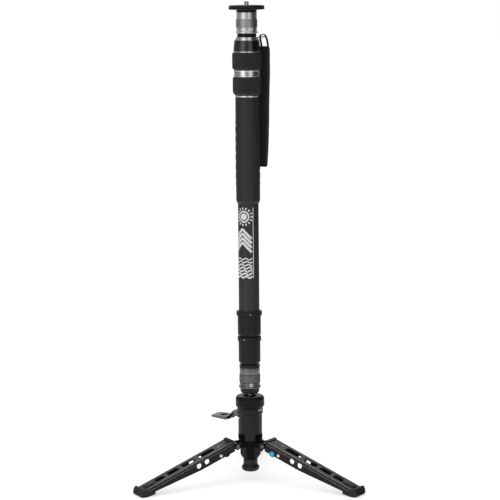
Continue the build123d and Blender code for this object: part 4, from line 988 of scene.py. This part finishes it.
for leg, azimuth in leg_azimuths.items():
    for name, grids, body, material, slot, sharp in (
            ("_button_cap", [button], leg + "_release", "blue_plastic", "button_blue", 38),
            ("_rivet_heads", [rivet, rivet * other_side], leg, "steel", "steel", 38),
            ("_mark", [mark], leg, "white_print", None, 38),
            ("_cut_edges", edges, leg, "cut_edge", None, 38),
            ("_channel_painted_shade", shade, leg, "painted_shade_black", None, 30),
            ("_toe_pad", [toe_pad], leg, "sole_rubber", None, 50)):
        piece(leg + name, [on_leg(grid, azimuth) for grid in grids], body, material, sharp=sharp)
print("small parts on", len(leg_azimuths), "legs")

# %% [markdown]
# ## The wrist strap
# A long padded strap hangs beside the column. It is a flat tube whose section
# is a superellipse: rounder at the edges than a block, flatter than an
# ellipse. The thickness dips along two sewn lines near the edges, and the
# section shrinks at both ends so that the corners are round.

# %% Where the strap hangs
strap_x, strap_y, strap_turn = 24.2, 12.6, np.radians(-30)
strap_low, strap_high = level("wrist_strap")
seam_at = 6.5


def on_strap(across, out, height):
    """Strap coordinates to the frame: across its width, out of its face, and up."""
    x = strap_x + across * np.cos(strap_turn) - out * np.sin(strap_turn)
    y = strap_y + across * np.sin(strap_turn) + out * np.cos(strap_turn)
    return np.stack([x, y, height], axis=-1)


def strap_lean(height):
    """How far the strap's middle leans across at a height, on a smooth line through six places."""
    share = (height - strap_low) / (strap_high - strap_low)
    fine = np.linspace(0, 1, 201)
    lean_line = np.interp(fine, [0, 0.17, 0.35, 0.58, 0.78, 1], [-5.6, -3.4, -2.2, -1.4, 0, 0])
    smooth = np.convolve(np.pad(lean_line, 12, mode="edge"), np.ones(25) / 25, mode="valid")
    return np.interp(share, fine, smooth)


# %% Padded strap
strap_rows = 150
t = np.linspace(0, 1, strap_rows)[:, None]
around = full_circle(96)[None, :]
height = strap_low + (strap_high - strap_low) * t
from_end = np.minimum((height - strap_low) / 3.2, (strap_high - height) / 5.0)
rounding = np.clip(from_end, 0, 1)
rounding = np.sqrt(np.clip(1 - (1 - rounding) ** 2, 0, 1))
half_wide = 9.0 - 2.6 * (1 - rounding)
half_thick = 2.4 * (0.45 + 0.55 * rounding)


def strap_skin(around, lift=0.0):
    """across = w squared(cos a, 0.62) and out = t squared(sin a, 0.55), crowned, with sunk seams."""
    across = (half_wide + 0.3 * lift) * squared(np.cos(around), 0.62)
    crown = 1 - 0.1 * (across / 9.0) ** 2
    seam = np.exp(-((np.abs(across) - seam_at) / 0.55) ** 2)
    seam = seam + 0.8 * np.exp(-((height - strap_high + 9) / 0.6) ** 2)
    soft = 1 + 0.05 * np.sin(height * 0.21 + 1.3) * np.cos(across * 0.4)
    out = half_thick * crown * soft * squared(np.sin(around), 0.55) * (1 - 0.22 * seam)
    return on_strap(across + strap_lean(height), out + lift * np.sign(np.sin(around)), height + 0 * across)


strap = piece("strap_pad", [strap_skin(around)], "strap", "strap_cloth", ("wrist_strap",),
              sharp=70, uv_size=(44.0, 172.0))
# lighter strips over both faces near the edges: a painted highlight where the padded edges catch the light
highlight_strips = []
for start, end in ((24, 58), (122, 156), (204, 238), (302, 336)):
    turn = np.radians(np.linspace(start, end, 12))[None, :]
    highlight_strips.append(np.concatenate([strap_skin(turn, 0.16), strap_skin(turn[:, ::-1], -0.3)], axis=1)[4:-4])
piece("strap_painted_highlights", highlight_strips, "strap", "painted_highlight_cloth", sharp=70, uv_size=(9.0, 165.0))

# %% [markdown]
# Stitches are short threads laid end to end along the sewn lines. One small
# capsule is made once, and numpy copies it to every place by adding the place
# to all its points.

# %% Stitches
def stitches(places, axes, thickness=0.28, length=2.3):
    """Capsules of 6 sides and 5 rings: each ring's radius is thickness times a half sine along the stitch."""
    s = np.linspace(0, 1, 5)[:, None]
    a = full_circle(6)[None, :]
    swell = thickness * np.sqrt(np.clip(1 - (2 * s - 1) ** 2, 0.04, 1))
    one = np.stack([swell * np.cos(a), swell * np.sin(a), (s - 0.5) * length + 0 * a], axis=-1)
    return [place + one @ axes for place in places]


cos_turn, sin_turn = np.cos(strap_turn), np.sin(strap_turn)
face_axes = np.array([[cos_turn, sin_turn, 0], [-sin_turn, cos_turn, 0], [0, 0, 1.0]])
rows = np.arange(strap_low + 5, strap_high - 10, 3.1)
sewn = []
depth = 2.4 * (1 - 0.1 * (seam_at / 8.7) ** 2) * 0.93 * 0.8
for side in (-seam_at, seam_at):
    for face in (-1, 1):
        sewn += stitches(on_strap(side + strap_lean(rows), 0 * rows + depth * face, rows), face_axes)
piece("strap_stitches", sewn, "strap", "thread", sharp=80)
print(len(sewn), "stitches")

# %% [markdown]
# ## The webbing loop
# Narrow webbing comes out of the strap, goes through the eye of the metal lug
# and back. It is a flat band carried along a smooth path: the path's points
# are joined by a curve, and each row of the band stands square to it.

# %% Webbing loop
lug_middle = (level("strap_lug")[0] + level("strap_lug")[1]) / 2
by_strap = np.array([(-4.4, -1.5), (-4.6, 2.0), (6.4, -1.5)]) + [0, strap_high]
by_lug = np.array([(-5.9, -5.0), (-6.5, -1.5), (-6.5, 1.0), (-5.8, 2.6), (-3.8, 3.5), (-0.8, 3.6),
                   (1.6, 2.6), (3.1, 0.4), (4.6, -3.5), (5.8, -9.0)]) + [0, lug_middle]
corner_path = np.concatenate([by_strap[:2], by_lug, by_strap[2:]])
knots = np.concatenate([[0], np.cumsum(np.linalg.norm(np.diff(corner_path, axis=0), axis=1))])
fine = np.linspace(0, knots[-1], 140)
smooth_path = np.stack([np.interp(fine, knots, corner_path[:, k]) for k in (0, 1)], axis=1)
padded_path = np.pad(smooth_path, ((5, 5), (0, 0)), mode="edge")
window = np.hanning(13)[1:-1] / np.hanning(13).sum()
smooth_path = np.stack([np.convolve(padded_path[:, k], window, mode="valid") for k in (0, 1)], axis=1)
tangent = unit(np.gradient(smooth_path, axis=0))
normal = np.stack([-tangent[:, 1], tangent[:, 0]], axis=1)
a = full_circle(20)
section_out = 2.3 * squared(np.cos(a), 0.35)
section_up = 0.6 * squared(np.sin(a), 0.55)
band = on_strap(smooth_path[:, :1] + normal[:, :1] * section_up, section_out + 0 * smooth_path[:, :1],
                smooth_path[:, 1:] + normal[:, 1:] * section_up)
piece("webbing_loop", [band], "strap", "band_cloth", ("strap_webbing",), sharp=70,
      uv_size=(10.4, float(knots[-1])))
print("webbing is", round(float(knots[-1]), 1), "mm long")
